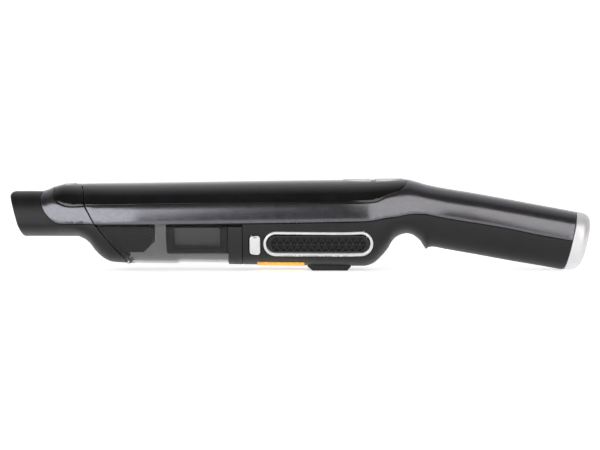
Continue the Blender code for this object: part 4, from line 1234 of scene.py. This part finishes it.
def make_visor():
    gap = -DOOR_GAP
    low_x = line_x(DOOR_LINE, VISOR_LOW) + gap
    low = UPPER.from_side([(x, VISOR_LOW) for x in (-176, -168, -160, low_x)], -1)
    turn = turn_at_height(DOOR_LINE, 49.2, gap)
    start = crossing(DOOR_LINE, [turn], gap)[0]

    def inlay_edge(shift):
        edge = over_crown([(x + shift, z + shift) for x, z in INLAY_LINE])
        return edge[edge[:, 0] < start]

    inner = np.concatenate([[[start, float(UPPER.way([start], [turn])[0])]], inlay_edge(-0.2)])
    door = line_side(UPPER, DOOR_LINE, turn_at_height(DOOR_LINE, VISOR_LOW, gap), turn, gap)
    door[0], door[-1] = low[-1], inner[0]
    front = over_crown(VISOR_LINE)
    front[0] = low[0]
    far_side = [mirrored(inner), mirrored(door), mirrored(low), front * (1, -1)]
    loop = loop_of(low, door, inner, *far_side, front[::-1])
    mesh = skin_mesh(UPPER, [loop], VISOR, 0.5, 0, 1.5)
    add_object("front_visor_skin", mesh, "door", ["front_visor"], "satin_grey")
    inner = inlay_edge(0.15)
    inner = np.concatenate([[[start, float(inner[0][1])]], inner])
    hole = even_loop(UPPER.from_plan(circle(DOOR_BUTTON_RADIUS + GAP, 48, DOOR_BUTTON_X)), 0.6)
    mesh = skin_mesh(UPPER, [closed_at_door(inner, turn, gap), hole], VISOR, 0.4, 0, 1.5)
    add_object("front_inlay_skin", mesh, "door", ["front_inlay"], "gloss_black")


def make_door_button():
    loop = even_loop(UPPER.from_plan(circle(DOOR_BUTTON_RADIUS, 60, DOOR_BUTTON_X)), 0.5)
    mesh = skin_mesh(UPPER, [loop], 2.4, 0.6, 0.5, 1.0, 7)
    add_object("door_button_cap", mesh, "door_button", ["door_button"], "silver")


def make_filter():
    front, rear, radius = FILTER_FRONT, CUP_REAR, FILTER_RADIUS
    cage = [
        (front, 0.4), (front, radius - 0.8), (front + 0.25, radius - 0.25), (front + 0.8, radius),
        (rear, radius), (rear, radius - 2), (front + 2, radius - 2), (front + 2, 0.4),
    ]
    windows = []
    x0, x1, half = front + 6.4, rear - 6, 9.3
    outline = rounded_corners([(x0, -half), (x1, -half), (x1, half), (x0, half)], 1.5)
    for angle in (30, -30):
        turn = Matrix.Rotation(math.radians(90 + angle), 4, "X")
        place = Matrix.Translation((0, 0, FILTER_Z * MM)) @ turn
        windows.append(prism_mesh(outline, 60, place))
    mesh = cut(turned_mesh(cage, FILTER_Z), windows)
    add_object("filter_cage_fine", mesh, "filter", ["filter_cage"], "inner_black", sharp=35)
    x0, x1, outer, inner = front + 3, rear - 0.5, radius - 2.4, radius - 3.2
    mesh = turned_mesh([(x0, inner), (x1, inner), (x1, outer), (x0, outer)], FILTER_Z)
    add_object("filter_screen_fine", mesh, "filter", ["filter_screen"], "steel", "screen")


INNER_FINISHES = {
    "rubber_black": [
        "filter_gasket", "inlet_flap", "door_seal", "bulkhead_seal", "battery_lead_black",
        "motor_mount_front", "motor_mount_rear",
    ],
    "steel": [
        "rotor_shaft", "rotor_magnet", "motor_can", "bearing_front", "bearing_rear", "hinge_pin",
        "housing_screw_1", "housing_screw_2", "housing_screw_3",
    ],
    "board_green": ["motor_board", "control_board", "battery_board"],
    "cell_wrap": ["battery_cell_1", "battery_cell_2"],
    "gold": ["charging_contact_1", "charging_contact_2"],
    "filter_white": ["filter_pleats"],
    "lead_red": ["battery_lead_red"],
    "copper": ["motor_stator"],
    "matt_black": ["impeller"],
}


def finish_inner_pieces():
    """Give every CAD node that still shows its own material."""
    finishes = {node: finish for finish, nodes in INNER_FINISHES.items() for node in nodes}
    for name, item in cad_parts.items():
        if not item.hide_render:
            item.data.materials.clear()
            item.data.materials.append(M[finishes.get(name, "inner_black")])


# ---------------------------------------------------------------- studio

SOFTBOX_AWAY = 1.9
STUDIO_MIDDLE = Vector((0, 0, 0.035))


def add_softbox(name, sweep, heights, radiance, colour):
    """Softbox in front of the object, its sides and edges given in degrees as seen from the object."""
    middle = math.radians(sum(sweep) / 2)
    rise = math.radians(sum(heights) / 2)
    light = bpy.data.lights.new(name, "AREA")
    light.shape = "RECTANGLE"
    light.size = 2 * SOFTBOX_AWAY * math.tan(math.radians(sweep[1] - sweep[0]) / 2)
    light.size_y = 2 * SOFTBOX_AWAY * math.tan(math.radians(heights[1] - heights[0]) / 2)
    light.energy = radiance * math.pi * light.size * light.size_y
    light.color = colour
    level = math.cos(rise)
    toward = Vector((math.sin(middle) * level, -math.cos(middle) * level, math.sin(rise)))
    item = new_object(name, light)
    item.location = STUDIO_MIDDLE + toward * SOFTBOX_AWAY
    item.rotation_euler = (-toward).to_track_quat("-Z", "Y").to_euler()


def make_stage():
    """Pale floor that curves up into a backdrop behind the object."""
    front, bend_start, bend, top, side = -4.0, 1.9, 0.9, 4.0, 5.0
    profile = [(front, 0.0), (bend_start, 0.0)]
    for t in spread(0, math.pi / 2, 20)[1:]:
        profile.append((bend_start + bend * math.sin(t), bend - bend * math.cos(t)))
    profile.append((bend_start + bend, top))
    points = [(x, y, z) for y, z in profile for x in (-side, side)]
    faces = [(2 * i, 2 * i + 1, 2 * i + 3, 2 * i + 2) for i in range(len(profile) - 1)]
    mesh = bpy.data.meshes.new("studio_floor")
    mesh.from_pydata(points, [], faces)
    mesh.shade_smooth()
    floor = new_object("studio_floor", mesh)
    material, _, shader = new_material("studio_white")
    feed(shader, {
        "Base Color": (0.82, 0.82, 0.82, 1),
        "Roughness": 0.9,
        "Emission Color": (1, 1, 1, 1),
        "Emission Strength": 0.62,
    })
    mesh.materials.append(material)
    floor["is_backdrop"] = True


def make_world():
    """Soft studio surroundings: bright above and behind the object, dimmer toward the front."""
    world = bpy.data.worlds.new("studio")
    world.use_nodes = True
    bpy.context.scene.world = world
    tree = world.node_tree
    place = tree.nodes.new("ShaderNodeTexCoord").outputs["Generated"]
    parts = feed(tree.nodes.new("ShaderNodeSeparateXYZ"), {"Vector": place}).outputs
    back = ranged(tree, parts["Y"], 0.03, 1.0, -0.2, 0.6)
    top = ranged(tree, parts["Z"], 0.0, 0.12, 0.5, 1.0)
    brighter = tree.nodes.new("ShaderNodeMath")
    brighter.operation = "MAXIMUM"
    feed(brighter, {0: back, 1: top})
    strength = brighter.outputs["Value"]
    feed(tree.nodes["Background"], {"Strength": strength, "Color": (1, 1, 1, 1)})


def make_camera():
    distance, height = 1.5, 0.0338
    tilt = math.radians(3.0)
    camera = bpy.data.cameras.new("camera")
    camera.lens = 119.2
    camera.sensor_width = 36
    item = new_object("camera", camera)
    item.location = (0, -distance * math.cos(tilt), height + distance * math.sin(tilt))
    item.rotation_euler = (math.pi / 2 - tilt, 0, 0)
    bpy.context.scene.camera = item


make_camera()
make_stage()
make_world()
add_softbox("left_softbox", (-62, -9), (-0.9, 36), 4.0, (0.97, 0.97, 1.0))
add_softbox("right_softbox", (14, 46), (-0.9, 50), 2.8, (1.0, 0.97, 0.94))
bpy.context.scene.view_settings.view_transform = "Standard"

make_upper_housing()
make_top_panel()
make_lower_housing()
make_side_pieces()
make_top_buttons()
make_label()
make_end_cap()
make_block()
make_cup()
make_ring()
make_nozzle()
make_door_plate()
make_visor()
make_door_button()
make_filter()
finish_inner_pieces()

[[list(map(float, corner)) for corner in box] for box in (cad_box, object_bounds())]
